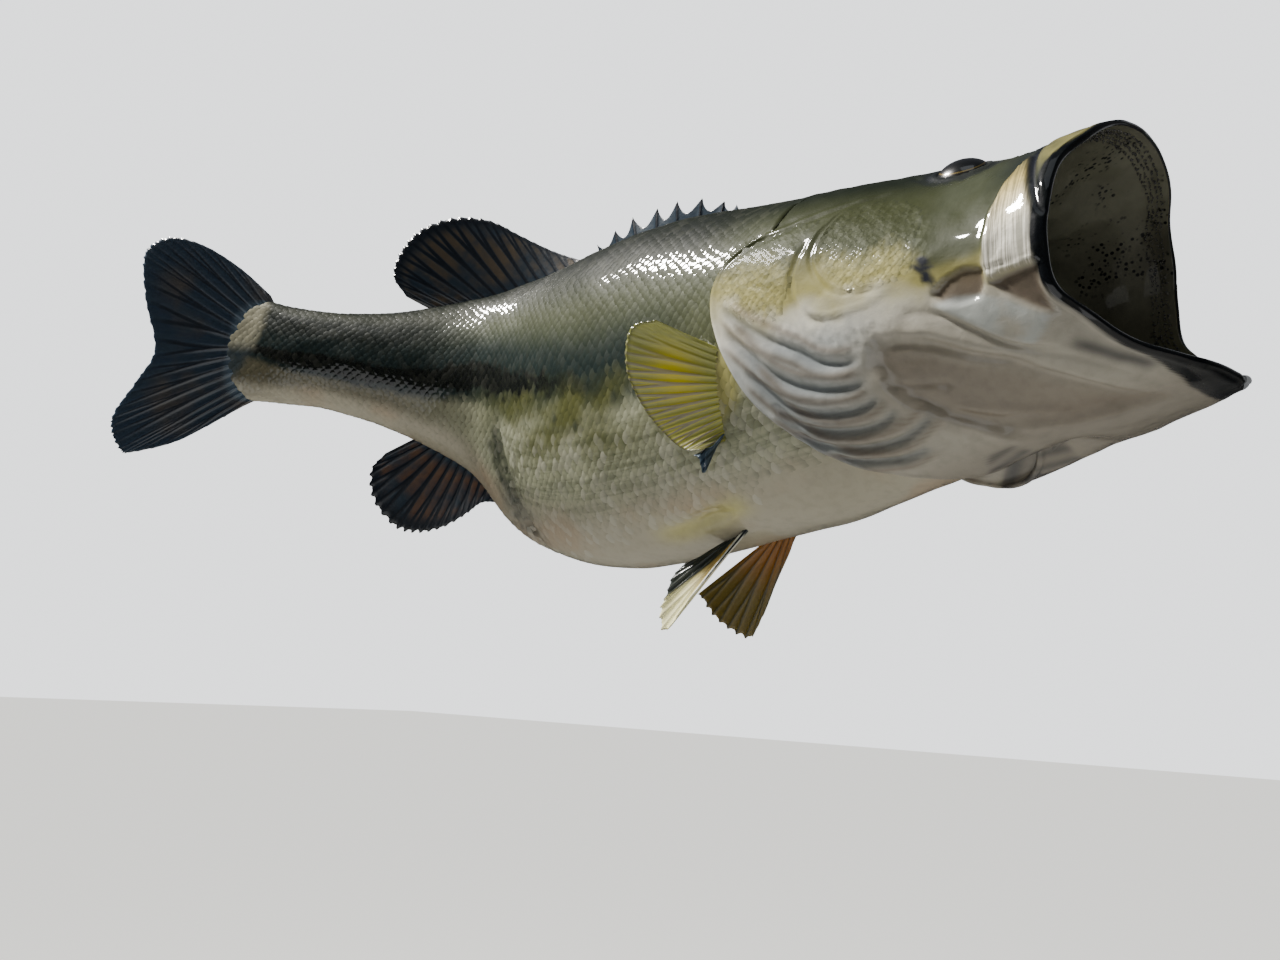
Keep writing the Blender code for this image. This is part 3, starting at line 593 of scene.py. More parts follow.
@dataclass(frozen=True)
class Relief:
    """Everything that raises or sinks the skin, in millimetres."""

    creases: tuple[Crease, ...] = CREASES
    fold_depth: float = 1.5
    fold_width: float = 1.5
    fold_crest: float = 0.7
    eye_spot: tuple[float, float] = (0.181, 29.0)
    eye_radius: float = 9.6
    eye_hollow: float = 3.0
    eye_rim: float = 0.75
    eye_groove: float = 0.5
    hollow: float = 2.2
    pocket: float = 1.5
    soft_corner: float = 0.9
    nostrils: tuple[tuple[float, float], ...] = ((0.219, 27), (0.227, 25))
    nostril: float = 1.5
    nostril_rim: float = 0.35
    wet_waves: tuple[float, float] = (0.45, 0.22)
    plate_ridges: float = 0.22
    lip_roll: float = 0.7
    flap_rim: float = 0.45
    wrinkles: float = 0.55
    uneven: tuple[float, float] = (0.15, 0.25)      # on the head and on the trunk

    def folds(self, x: Array, angle: Array) -> Array:
        """The rounded folds of skin between the gill rays, and the grooves that part them.

        Args:
            x: places along the spine.
            angle: their angles down from the back.

        Returns:
            The height that they add at each place.
        """
        rise = 0.0 * x
        for line in GILL_FOLDS:
            near = distance(line, x, angle)
            ends = near.ends(0.1, 0.75)
            groove = -self.fold_depth * bell(near.gap, self.fold_width)
            crest = self.fold_crest * (bell(near.gap - 3.4, 2.2) + bell(near.gap + 3.4, 2.2))
            rise = rise + (groove + crest) * ends
        return rise

    def eye_seat(self, x: Array, angle: Array) -> Array:
        """The hollow that the eye sits in, with the raised rim of skin round it.

        Args:
            x: places along the spine.
            angle: their angles down from the back.

        Returns:
            The height that it adds at each place.
        """
        gap = apart(x, angle, self.eye_spot)
        hollow = -self.eye_hollow * smooth(self.eye_radius + 0.3, self.eye_radius - 2.4, gap)
        rim = self.eye_rim * bell(gap - self.eye_radius - 1.0, 1.1)
        return hollow + rim - self.eye_groove * bell(gap - self.eye_radius - 3.4, 1.3)

    def head(self, x: Array, angle: Array) -> Array:
        """Heights of the head's skin.

        Args:
            x: places along the spine.
            angle: their angles down from the back, 0 to 180.

        Returns:
            Millimetres outward.
        """
        rise = self.folds(x, angle) + self.eye_seat(x, angle)
        for crease in self.creases:
            rise = rise + crease.lift(x, angle)
        rise = rise - self.pocket * region(POCKET, x, angle, 0.9)
        rise = rise - self.soft_corner * region(SOFT_TRIANGLE, x, angle, 1.0)
        rise = rise - self.hollow * region(HOLLOW, x, angle, 5.0)
        for spot in self.nostrils:
            gap = apart(x, angle, spot)
            rise = rise - self.nostril * bell(gap, 1.0) + self.nostril_rim * bell(gap - 1.9, 0.7)
        wet = region(WET_PATCH, x, angle, 2.0)
        coarse, fine = self.wet_waves
        rise = rise + wet * (coarse * ripple(x, angle, 3.6, 0.4) + fine * ripple(x, angle, 1.9, 1.7))
        plate = smooth(0.2215, 0.23, x) * smooth(0.25, 0.244, x) * bell(angle - 84.0, 16.0)
        rise = rise + self.plate_ridges * plate * np.sin(x / MM * 2.9 + 0.05 * angle)
        rim_x = FORM.rim(angle)
        rise = rise + self.lip_roll * bell((x - rim_x) / MM + 1.2, 1.7) * smooth(20.0, 40.0, angle)
        gill_x = FORM.gill(angle)
        flap = smooth(50.0, 60.0, angle) * bell((x - gill_x) / MM - 1.3, 1.0)
        return rise + self.flap_rim * flap + self.uneven[0] * ripple(x, angle, 11.0, 0.9)

    def body(self, x: Array, angle: Array) -> Array:
        """Heights of the trunk's skin, as head gives them for the head.

        Args:
            x: places along the spine.
            angle: their angles down from the back.

        Returns:
            The height at each place.
        """
        rise = 0.0 * x
        for crease in self.creases[-5:]:
            rise = rise + crease.lift(x, angle)
        wrinkles = bell((x + 0.268) / MM, 17.0) * smooth(96.0, 118.0, angle)
        rise = rise + self.wrinkles * wrinkles * ripple(x * 1.5, angle * 0.55, 6.5, 2.2)
        return rise + self.uneven[1] * ripple(x, angle, 31.0, 1.1)


RELIEF = Relief()


# ---- surfaces
COAT_DEPTH = 0.45                   # how far the skin lies under the scales' outer face, mm
SLIT_FROM, SLIT_TO = 53.0, 63.0     # angles over which the gill slit opens
SHOULDER_BLEND = (0.0, 0.06)
THROAT_BLEND = (0.045, 0.08)
# x, share of the mouth's width that the lining keeps there
GULLET = ((0.095, 0), (0.104, 0.22), (0.12, 0.45), (0.15, 0.66), (0.187, 0.84), (0.235, 1))
GULLET_Z = -0.02                    # the height that it closes toward


def slit(angle: Array) -> Array:
    """How open the gill slit is at an angle, 0 on the nape to 1 on the flank."""
    return smooth(SLIT_FROM, SLIT_TO, fold(angle))


def scaled(x: Array, angle: Array) -> Array:
    """Where the trunk wears scales: 1 on it, 0 on the throat and at the tail's very end.

    Args:
        x: places along the spine.
        angle: angles round the body from the back.

    Returns:
        The share at each place.
    """
    around = fold(angle)
    throat = smooth(0.01, 0.04, x) * smooth(142.0, 150.0, around)
    return (1.0 - throat) * (1.0 - smooth(0.045, 0.062, x) * (1.0 - slit(angle)))


def body_point(x: Array, angle: Array, lift: Array) -> Array:
    """A point of the trunk, the throat under the gill covers and the nape.

    Args:
        x: places along the spine.
        angle: angles round the body.
        lift: millimetres above the solids' surface.

    Returns:
        Points in the fish's own axes.
    """
    inset = -lift * MM
    trunk = FORM.section(FORM.trunk, x, angle, inset)
    throat = FORM.section(FORM.throat, x, angle, inset)
    nape = FORM.head_point(x, angle, inset)
    under = smooth(*THROAT_BLEND, x)[..., None]
    upper = (smooth(*SHOULDER_BLEND, x) * (1.0 - slit(angle)))[..., None]
    point = trunk * (1.0 - under) + throat * under
    return point * (1.0 - upper) + nape * upper


def trunk_surface(x: Array, angle: Array, lift: Array) -> Array:
    """A point over the trunk's skin, at a height above it in millimetres."""
    return body_point(x, angle, lift + RELIEF.body(x, fold(angle)) - COAT_DEPTH)


def head_surface(x: Array, angle: Array, lift: Array) -> Array:
    """A point over the head's skin, at a height above it in millimetres."""
    return FORM.head_point(x, angle, -(lift + RELIEF.head(x, fold(angle))) * MM)


def lining_surface(x: Array, angle: Array) -> Array:
    """A point of the mouth's lining, which narrows to the gullet.

    Args:
        x: places along the spine.
        angle: angles round the body from the back.

    Returns:
        Points in the fish's own axes.
    """
    around = fold(angle)
    near_rim = smooth(-0.035, 0.0, x - FORM.rim(angle))
    inner = FORM.jaw_wall - (FORM.jaw_wall - FORM.lip_wall) * near_rim
    crown = FORM.palate * (1.0 - smooth(25.0, 50.0, around)) * (1.0 - smooth(0.205, 0.245, x))
    point = FORM.head_point(x, angle, inner, crown)
    keep = np.interp(x, *np.transpose(GULLET))
    return point_of(point[..., 0], point[..., 1] * keep,
                    GULLET_Z + (point[..., 2] - GULLET_Z) * keep)


@dataclass
class Patch:
    """Rows of the skin, with what the paint needs to know at each place."""

    point: Array
    x: Array
    angle: Array
    lift: Array
    head: float = 0.0
    mouth: float = 0.0


# ---- marks for the paint
class Mark(Enum):
    """The numbers that each painted piece carries for its finish."""

    BODY = "body"                   # x, share of the way from back to belly, z
    HEAD = "head"
    MOUTH = "mouth"
    ICE = "ice"
    LIP = "lip"
    GILT = "gilt"
    PLATE = "plate"
    # COLD, DARK and WARM carry painted shade as well as the fish's own colours
    COLD = "cold"
    DARK = "dark"
    WARM = "warm"
    TONE = "tone"
    RIM = "rim"
    RAY = "ray"
    SPAN = "span"


@dataclass(frozen=True)
class Markings:
    """Where the painted areas lie, drawn as outlines on the body. Widths are millimetres."""

    # angle, width of the black rim of the mouth
    lip: Points = (
        (0, 0.6), (42, 0.7), (52, 1.4), (60, 3.6), (72, 4.4), (88, 4.2), (98, 2.8), (112, 1.6),
        (126, 1.8), (136, 3), (147, 7), (160, 9), (180, 8.4))
    strip: Points = (
        (0.1875, 98.8), (0.2, 98), (0.2165, 99.7), (0.2297, 103.2), (0.2435, 109.5), (0.2523, 112.7),
        (0.2467, 117.9), (0.24, 120), (0.2328, 117.6), (0.2215, 112.9), (0.2102, 107.5), (0.1982, 102.5))
    smear: Points = (
        (0.254, 122.8), (0.2599, 124.6), (0.2681, 129.2), (0.2756, 134.1), (0.2844, 139.6), (0.289, 146))
    blotches: Points = ((0.1825, 82.5, 2.6), (0.184, 87, 2.8), (0.1855, 91.5, 2.2), (0.179, 84.5, 1.6))
    plate: Points = (
        (0.2404, 36.4), (0.2341, 52.8), (0.2265, 63.8), (0.2221, 75.7), (0.2209, 85.8), (0.2202, 93.2),
        (0.2234, 96.2), (0.2303, 95.1), (0.2391, 95.1), (0.2498, 95.1), (0.251, 84), (0.249, 72),
        (0.247, 60), (0.244, 48), (0.2425, 36))
    belly_recess: Points = ((-0.115, 149.5), (-0.075, 152), (-0.045, 150), (-0.012, 146.5))
    shoulder: Points = (
        (0.024, 92), (0.027, 108), (0.006, 114), (-0.016, 126), (-0.02, 112), (-0.006, 98))

    chin_flap: Points = (
        (0.176, 168), (0.188, 153.5), (0.204, 154.5), (0.212, 167), (0.211, 183), (0.174, 183))
    # the fold of the far gill skin that shows below the chin; its angles run on past the belly
    far_flap: Points = ((0.149, 184), (0.144, 212), (0.15, 226), (0.165, 222), (0.185, 200), (0.19, 184))
    # place, angle and radius of the dark spots on the flank
    spots: Points = ((-0.108, 98, 2.3), (-0.187, 101, 1.6), (-0.158, 104, 1.9))

    def groove(self, x: Array, angle: Array) -> Array:
        """Painted shade in the groove behind the lip."""
        near = distance(LIP_GROOVE, x, angle)
        return bell(near.gap + 0.4, 1.8) * smooth(12.0, 30.0, angle) * smooth(86.0, 70.0, angle)

    def rim(self, x: Array, angle: Array) -> Array:
        """The black rim of the mouth, wide beside its corner and at the tip of the jaw.

        Args:
            x: places along the spine.
            angle: their angles down from the back.

        Returns:
            The share of the rim at each place.
        """
        gap = (FORM.rim(angle) - x) / MM
        wide = np.interp(angle, *np.transpose(self.lip))
        return smooth(wide + 0.7, wide - 0.5, gap)

    def gill_skin(self, x: Array, angle: Array) -> tuple[Array, Array]:
        """The painted blue-grey shade in the grooves between the gill rays' folds, and the pink crests of
        the folds.

        Args:
            x: places along the spine.
            angle: their angles down from the back.

        Returns:
            The share of the painted groove shade and of the crests at each place.
        """
        cold, warm = 0.0 * x, 0.0 * x
        for line in GILL_FOLDS:
            near = distance(line, x, angle)
            ends = near.ends(0.12, 0.85)
            cold = np.maximum(cold, ends * bell(near.gap + 0.8, 2.4))
            warm = np.maximum(warm, ends * bell(np.abs(near.gap) - 4.4, 1.5))
        return cold, warm

    def head(self, x: Array, angle: Array) -> dict[Mark, Array]:
        """The painted areas of the head.

        Args:
            x: places along the spine.
            angle: their angles down from the back, 0 to 180.

        Returns:
            The share of each area at each place.
        """
        # dark gathers painted shade in the lip groove and the recesses, and the head's dark marks:
        # blotches, a ring round the eye, a smear and the chin flap
        groove = dark = self.groove(x, angle)
        cold, warm = self.gill_skin(x, angle)
        for *spot, size in self.blotches:
            ragged = apart(x, angle, spot) + ripple(x, angle, 5.0, 3.0)
            dark = np.maximum(dark, smooth(size + 1.2, size - 1.2, ragged))
        ragged = apart(x, angle, RELIEF.eye_spot) - 11.5 + 1.5 * ripple(x, angle, 5.0, 2.0)
        dark = np.maximum(dark, 0.75 * bell(ragged, 3.2))
        near = distance(self.smear, x, angle)
        dark = np.maximum(dark, 0.75 * bell(near.gap, 2.6) * near.ends(0.3, 0.8))
        # painted shade in the sunken pocket and soft corner; WARM below browns them as well
        recess = region(POCKET, x, angle, 1.2) + region(SOFT_TRIANGLE, x, angle, 1.2)
        dark = np.maximum(dark, 0.25 * recess)
        stripes = 0.42 + 0.24 * np.sin(angle * 0.9 + 160.0 * x)
        dark = np.maximum(dark, stripes * region(self.chin_flap, x, angle, 1.5))
        # the jaw's hollow painted darker brown: partly its own brown-pink skin, partly painted shade
        hollow = 0.7 * region(HOLLOW, x, angle, 7.0)
        gilt = np.maximum(region(COVER, x, angle, 4.0), region(CHEEK, x, angle, 3.0))
        return {Mark.LIP: self.rim(x, angle), Mark.DARK: dark, Mark.COLD: cold,
                Mark.PLATE: region(self.plate, x, angle, 0.7) * (1.0 - groove),
                Mark.ICE: region(self.strip, x, angle, 1.2), Mark.GILT: gilt,
                Mark.WARM: np.clip(warm * (1.0 - hollow) * 0.7 + hollow + recess, 0.0, 1.0)}

    def body(self, x: Array, angle: Array) -> dict[Mark, Array]:
        """The painted areas of the trunk, as head gives those of the head.

        Args:
            x: places along the spine.
            angle: their angles down from the back.

        Returns:
            The share of each area at each place.
        """
        # painted shade in and behind the vent fold; the spots below are the fish's own dark marks
        near = distance(VENT_FOLD, x, angle)
        ends = near.ends(0.2, 0.8)
        dark = bell(near.gap + 5.0, 11.0) * ends * (0.75 + 0.5 * ripple(x, angle, 9.0, 1.0))
        for *spot, size in self.spots:
            dark = np.maximum(dark, 0.8 * smooth(size + 1.4, size - 1.4, apart(x, angle, spot)))
        near = distance(self.belly_recess, x, angle)
        gold = bell(near.gap, 7.0) * smooth(0.0, 0.3, near.share)
        gold = np.maximum(gold, 0.9 * region(self.shoulder, x, angle, 4.0))
        return {Mark.DARK: np.clip(dark, 0.0, 1.0), Mark.WARM: np.clip(gold, 0.0, 1.0)}

    def of(self, patch: Patch) -> dict[Mark, Array]:
        """Everything the paint reads on a patch of skin or scales.

        Args:
            patch: the patch.

        Returns:
            The value of each mark at each place.
        """
        around = fold(patch.angle)
        body = point_of(patch.x, around / 180.0, patch.point[..., 2])
        even = np.ones_like(body[..., 0])
        found = {Mark.BODY: body, Mark.HEAD: patch.head * even, Mark.MOUTH: patch.mouth * even}
        painted = self.head if patch.head else self.body
        marks = {} if patch.mouth else painted(patch.x + 0.0 * around, around)
        if patch.head and not patch.mouth:
            whole = np.mod(patch.angle, 360.0) + 0.0 * around
            flap = region(self.far_flap, patch.x + 0.0 * around, whole, 1.5)
            stripes = 0.58 + 0.24 * np.sin(whole * 0.9 + 160.0 * patch.x)
            marks[Mark.DARK] = np.maximum(marks[Mark.DARK], flap * stripes)
        for mark in (Mark.LIP, Mark.PLATE, Mark.GILT, Mark.COLD, Mark.DARK, Mark.WARM, Mark.ICE):
            found[mark] = marks.get(mark, 0.0 * even) * even
        return found


MARKINGS = Markings()


# ---- modelling helpers
def write_mark(mesh: bpy.types.Mesh, mark: Mark, values: Array) -> None:
    """Store one mark on a mesh.

    Args:
        mesh: the mesh that carries it.
        mark: which one.
        values: one number, or one vector, for each vertex.
    """
    kind, field = ("FLOAT_VECTOR", "vector") if values.ndim == 2 else ("FLOAT", "value")
    layer = mesh.attributes.new(mark.value, kind, "POINT")
    layer.data.foreach_set(field, values.astype(np.float32).ravel())


def grid(name: str, columns: int, rows: int) -> tuple[Piece, Array, Array]:
    """Add a flat grid to be shaped.

    Args:
        name: the piece's name.
        columns: faces from side to side.
        rows: faces from front to back.

    Returns:
        The piece, and the column and row of each of its vertices.
    """
    bpy.ops.object.select_all(action="DESELECT")
    bpy.ops.mesh.primitive_grid_add(x_subdivisions=columns, y_subdivisions=rows, size=1.0)
    piece = bpy.context.object
    piece.name = piece.data.name = name
    flat = read_points(piece)
    column = np.rint((flat[:, 0] + 0.5) * columns).astype(int)
    row = np.rint((flat[:, 1] + 0.5) * rows).astype(int)
    return piece, column, row


def read_points(piece: Piece) -> Array:
    """The places of a mesh's vertices.

    Args:
        piece: the mesh.

    Returns:
        One row for each vertex.
    """
    flat = np.empty(3 * len(piece.data.vertices))
    piece.data.vertices.foreach_get("co", flat)
    return flat.reshape(-1, 3)


def write_points(piece: Piece, points: Array) -> None:
    """Put a mesh's vertices at their places."""
    piece.data.vertices.foreach_set("co", points.astype(np.float32).ravel())
    piece.data.update()


def close_up(piece: Piece, merge: float = 1e-6) -> None:
    """Weld what meets, face the surface outward and shade it smooth.

    Args:
        piece: a mesh whose edges meet.
        merge: how near two vertices are to become one, metres.
    """
    activate(piece)
    bpy.ops.object.mode_set(mode="EDIT")
    bpy.ops.mesh.select_all(action="SELECT")
    bpy.ops.mesh.remove_doubles(threshold=merge)
    bpy.ops.mesh.normals_make_consistent(inside=False)
    bpy.ops.object.mode_set(mode="OBJECT")
    bpy.ops.object.shade_smooth()


def activate(piece: Piece) -> None:
    """Make a piece the only one selected.

    Args:
        piece: the piece to select.
    """
    bpy.ops.object.select_all(action="DESELECT")
    piece.select_set(True)
    bpy.context.view_layer.objects.active = piece


def dress(piece: Piece, finish: Material, slot: str, *nodes: str) -> None:
    """Give a piece its finish, let it ride on the body and stand for its nodes.

    Args:
        piece: the finished mesh.
        finish: its material.
        slot: the record's material slot; not used.
        nodes: the nodes that it stands for.
    """
    piece.data.materials.clear()
    piece.data.materials.append(finish)
    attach(piece, "root")
    if nodes:
        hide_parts(*nodes)
    LOG.info("%s: %d faces", piece.name, len(piece.data.polygons))


# ---- the skin
@dataclass
class Skin:
    """One unbroken skin: trunk, gill slits, head, lips and the lining of the mouth."""

    finish: Material
    columns: int = 320
    trunk_rows: int = 120
    flap_rows: int = 4
    rim_rows: int = 3
    head_rows: int = 125
    lip_rows: int = 6
    lining_rows: int = 28
    slit_depth: float = 0.03
    flap_wall: float = 0.0028
    flap_set: float = 0.002         # how far ahead of its edge the inner face starts
    flap_roll: float = 0.001
    tail_round: float = 0.01
    lip_round: float = 0.0016
    gullet: float = 0.095
    tail_gap: float = 0.001
    crowd: float = 0.25             # how much closer the rows stand toward the tail
    ring_x: float = 0.15            # the section whose run spaces the columns
    ring_steps: int = 2881

    def angles(self) -> Array:
        """Angles round the body, evenly spaced along the skin of the head."""
        fine = np.linspace(0.0, 360.0, self.ring_steps)
        ring = FORM.section(FORM.head, np.full_like(fine, self.ring_x), fine)
        run = np.concatenate([[0.0], np.cumsum(np.linalg.norm(np.diff(ring, axis=0), axis=1))])
        return np.interp(np.linspace(0.0, run[-1], self.columns + 1), run, fine)

    def trunk_span(self, angle: Array) -> tuple[Array, Array]:
        """x where the trunk's skin starts and where it ends, at the bottom of the gill slit."""
        start = FORM.tail_end(angle) + self.tail_gap
        return start, FORM.gill(angle) + self.slit_depth * slit(angle)

    def trunk(self, angle: Array) -> Patch:
        """From the rounded end of the tail base to the bottom of the gill slit.

        Args:
            angle: the columns' angles round the body.

        Returns:
            The patch.
        """
        share = np.linspace(0.0, 1.0, self.trunk_rows)[:, None]
        start, stop = self.trunk_span(angle)
        x = start + (stop - start) * ((1.0 - self.crowd) * share + self.crowd * share * share)
        around = angle + 0.0 * x
        lift = RELIEF.body(x, fold(around)) - COAT_DEPTH * scaled(x, around)
        point = body_point(x, around, lift)
        close = np.clip((x - start) / self.tail_round, 0.0, 1.0)
        point[..., 1] *= np.sqrt(1.0 - (1.0 - close) ** 2)
        return Patch(point, x, around, lift)

    def flap(self, angle: Array) -> Patch:
        """The inner face of the gill cover, from the slit out to its free edge, and that edge.

        Args:
            angle: the columns' angles round the body.

        Returns:
            The patch.
        """
        first = self.trunk(angle)
        gill_x = FORM.gill(angle)
        wall = self.flap_wall * slit(angle)
        inner_x = gill_x + self.flap_set * slit(angle)
        inner = FORM.head_point(inner_x, angle, wall)
        share = np.linspace(0.0, 1.0, self.flap_rows + 1)[1:, None, None]
        inside = first.point[-1] + share * (inner - first.point[-1])
        turn = np.linspace(0.0, math.pi, self.rim_rows + 2)[1:-1, None]
        rim_x = gill_x - self.flap_roll * np.sin(turn) * slit(angle)
        rim = FORM.head_point(rim_x, angle + 0.0 * turn, 0.5 * wall * (1.0 + np.cos(turn)))
        point = np.concatenate([inside, rim])
        x = np.concatenate([np.broadcast_to(inner_x, inside.shape[:2]), rim_x])
        return Patch(point, x, angle + 0.0 * x, 0.0 * x, head=1.0)

    def head(self, angle: Array) -> Patch:
        """The outer skin of the head, from the gill edge to the rim of the mouth.

        Args:
            angle: the columns' angles round the body.

        Returns:
            The patch.
        """
        share = np.linspace(0.0, 1.0, self.head_rows)[:, None]
        start = FORM.gill(angle)
        x = start + (FORM.rim(angle) - start) * share
        around = angle + 0.0 * x
        lift = RELIEF.head(x, fold(around))
        return Patch(FORM.head_point(x, around, -lift * MM), x, around, lift, head=1.0)

    def lip(self, angle: Array, outer: Array) -> Patch:
        """The rounded lip, from the outer skin to the lining.

        Args:
            angle: the columns' angles round the body.
            outer: the outer skin's points along the rim.

        Returns:
            The patch.
        """
        rim_x = FORM.rim(angle)
        inner = lining_surface(rim_x, angle)
        turn = np.linspace(0.0, math.pi, self.lip_rows + 2)[1:-1, None, None]
        forward = np.array((self.lip_round, 0.0, 0.0))
        point = 0.5 * (outer + inner) + 0.5 * (outer - inner) * np.cos(turn) + forward * np.sin(turn)
        x = np.broadcast_to(rim_x, point.shape[:2])
        return Patch(point, x, angle + 0.0 * x, 0.0 * x, head=1.0)

    def lining(self, angle: Array) -> Patch:
        """The inside of the mouth, back to the closed gullet.

        Args:
            angle: the columns' angles round the body.

        Returns:
            The patch.
        """
        share = np.linspace(0.0, 1.0, self.lining_rows)[:, None]
        start = FORM.rim(angle)
        x = start + (self.gullet - start) * share
        around = angle + 0.0 * x
        wave = 0.6 * ripple(x, fold(around), 17.0, 0.3) * smooth(0.0, 0.1, share)
        point = lining_surface(x, around)
        point[..., 2] += wave * MM
        return Patch(point, x, around, wave, head=1.0, mouth=1.0)

    def unwrap(self, angle: Array, row: Array) -> Array:
        """Places on the skin's unwrap for angles and row counts.

        Args:
            angle: angles round the body from the back.
            row: rows counted from the tail.

        Returns:
            Places on the unwrap.
        """
        rows = (self.trunk_rows + self.flap_rows + self.rim_rows + self.head_rows + self.lip_rows
                + self.lining_rows)
        across = np.interp(np.mod(angle, 360.0), self.angles(),
                           np.linspace(0.0, 1.0, self.columns + 1))
        return np.stack([across, row / (rows - 1)], axis=-1)

    def unwrap_trunk(self, x: Array, angle: Array) -> Array:
        """Places on the skin's unwrap for places on the trunk.

        Args:
            x: places along the spine.
            angle: angles round the body from the back.

        Returns:
            Places on the unwrap.
        """
        start, stop = self.trunk_span(angle)
        part = np.clip((x - start) / (stop - start), 0.0, 1.0)
        half = 0.5 * (1.0 - self.crowd) / self.crowd
        share = np.sqrt(half * half + part / self.crowd) - half
        return self.unwrap(angle, share * (self.trunk_rows - 1))

    def unwrap_head(self, x: Array, angle: Array) -> Array:
        """Places on the skin's unwrap for places on the head.

        Args:
            x: places along the spine.
            angle: angles round the body from the back.

        Returns:
            Places on the unwrap.
        """
        start = FORM.gill(angle)
        share = (x - start) / (FORM.rim(angle) - start)
        before = self.trunk_rows + self.flap_rows + self.rim_rows
        return self.unwrap(angle, before + share * (self.head_rows - 1))

    def build(self) -> Piece:
        """Model the skin from one grid.

        Returns:
            The finished piece.
        """
        angle = self.angles()
        head = self.head(angle)
        patches = (self.trunk(angle), self.flap(angle), head, self.lip(angle, head.point[-1]),
                   self.lining(angle))
        rows = sum(len(patch.point) for patch in patches)
        piece, column, row = grid("skin", self.columns, rows - 1)
        piece.data.uv_layers[0].name = "OFBake"
        points = np.concatenate([patch.point for patch in patches])
        write_points(piece, placed(points[row, column]))
        marks = [MARKINGS.of(patch) for patch in patches]
        for mark in marks[0]:
            write_mark(piece.data, mark, np.concatenate([found[mark] for found in marks])[row, column])
        close_up(piece)
        flesh = [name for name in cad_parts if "fin" not in name.split("_")
                 and not name.startswith(("eye", "wall"))]
        dress(piece, self.finish, "pale_skin", *flesh)
        return piece


# ---- finishes
Number = Union["Socket", float]


def tint(red: float, green: float, blue: float) -> Colour:
    """A linear colour from the 0 to 255 values that it shows on a screen.

    Args:
        red: its red.
        green: its green.
        blue: its blue.

    Returns:
        The linear colour.
    """
    def part(value: float) -> float:
        """One value made linear."""
        share = value / 255.0
        return share / 12.92 if share <= 0.04045 else ((share + 0.055) / 1.055) ** 2.4
    return part(red), part(green), part(blue)


class Socket:
    """A number or a vector coming out of a node, with arithmetic on it."""

    def __init__(self, tree: "Tree", output: bpy.types.NodeSocket) -> None:
        """Wrap an output.

        Args:
            tree: the tree it belongs to.
            output: the node's output.
        """
        self.tree = tree
        self.output = output

    def math(self, operation: str, *others: Number, clamp: bool = False) -> "Socket":
        """Add a Math node with this value first."""
        return self.tree.out("ShaderNodeMath", dict(enumerate((self, *others))),
                             operation=operation, use_clamp=clamp)

    def __add__(self, other: Number) -> "Socket":
        """This plus another."""
        return self.math("ADD", other)

    def __sub__(self, other: Number) -> "Socket":
        """This minus another."""
        return self.math("SUBTRACT", other)

    def __rsub__(self, other: float) -> "Socket":
        """A number minus this."""
        return self.math("MULTIPLY", -1.0).math("ADD", other)

    def __mul__(self, other: Number) -> "Socket":
        """This times another."""
        return self.math("MULTIPLY", other)

    __radd__ = __add__
    __rmul__ = __mul__

    def clamp(self) -> "Socket":
        """Held between 0 and 1."""
        return self.math("ADD", 0.0, clamp=True)

    def most(self, other: Number) -> "Socket":
        """The larger of two."""
        return self.math("MAXIMUM", other)

    def rise(self, low: float, high: float) -> "Socket":
        """Eased from 0 at low to 1 at high; high may be the lower of the two.

        Args:
            low: the value at which it is 0.
            high: the value at which it is 1.

        Returns:
            The eased value.
        """
        start, stop, first, last = (low, high, 0.0, 1.0) if low < high else (high, low, 1.0, 0.0)
        return self.tree.out("ShaderNodeMapRange", {0: self, 1: start, 2: stop, 3: first, 4: last},
                             interpolation_type="SMOOTHSTEP")

    def hill(self, middle: Number, width: float) -> "Socket":
        """1 at middle, easing to 0 at a width on either side."""
        return (self - middle).math("ABSOLUTE").rise(width, 0.0)

    def curve(self, points: Points) -> "Socket":
        """Read a curve of (position, value) points, both between 0 and 1.

        Args:
            points: the curve's points.

        Returns:
            The curve's value.
        """
        node = self.tree.node("ShaderNodeFloatCurve", {1: self})
        line = node.mapping.curves[0]
        for index, (where, value) in enumerate(points):
            if index < 2:
                line.points[index].location = (where, value)
            else:
                line.points.new(where, value)
        node.mapping.update()
        return Socket(self.tree, node.outputs[0])

    def blend(self, first: Union["Socket", Colour], last: Union["Socket", Colour]) -> "Socket":
        """A colour between two, by this share."""
        return self.tree.out("ShaderNodeMix", {0: self, 6: first, 7: last}, 2, data_type="RGBA")

    def under(self, *layers: tuple["Socket", Union["Socket", Colour]]) -> "Socket":
        """This colour under layers of paint, each one's share and colour."""
        colour = self
        for share, paint in layers:
            colour = share.blend(colour, paint)
        return colour

    def parts(self) -> tuple["Socket", "Socket", "Socket"]:
        """The three numbers of a vector."""
        node = self.tree.node("ShaderNodeSeparateXYZ", {0: self})
        return tuple(Socket(self.tree, output) for output in node.outputs)


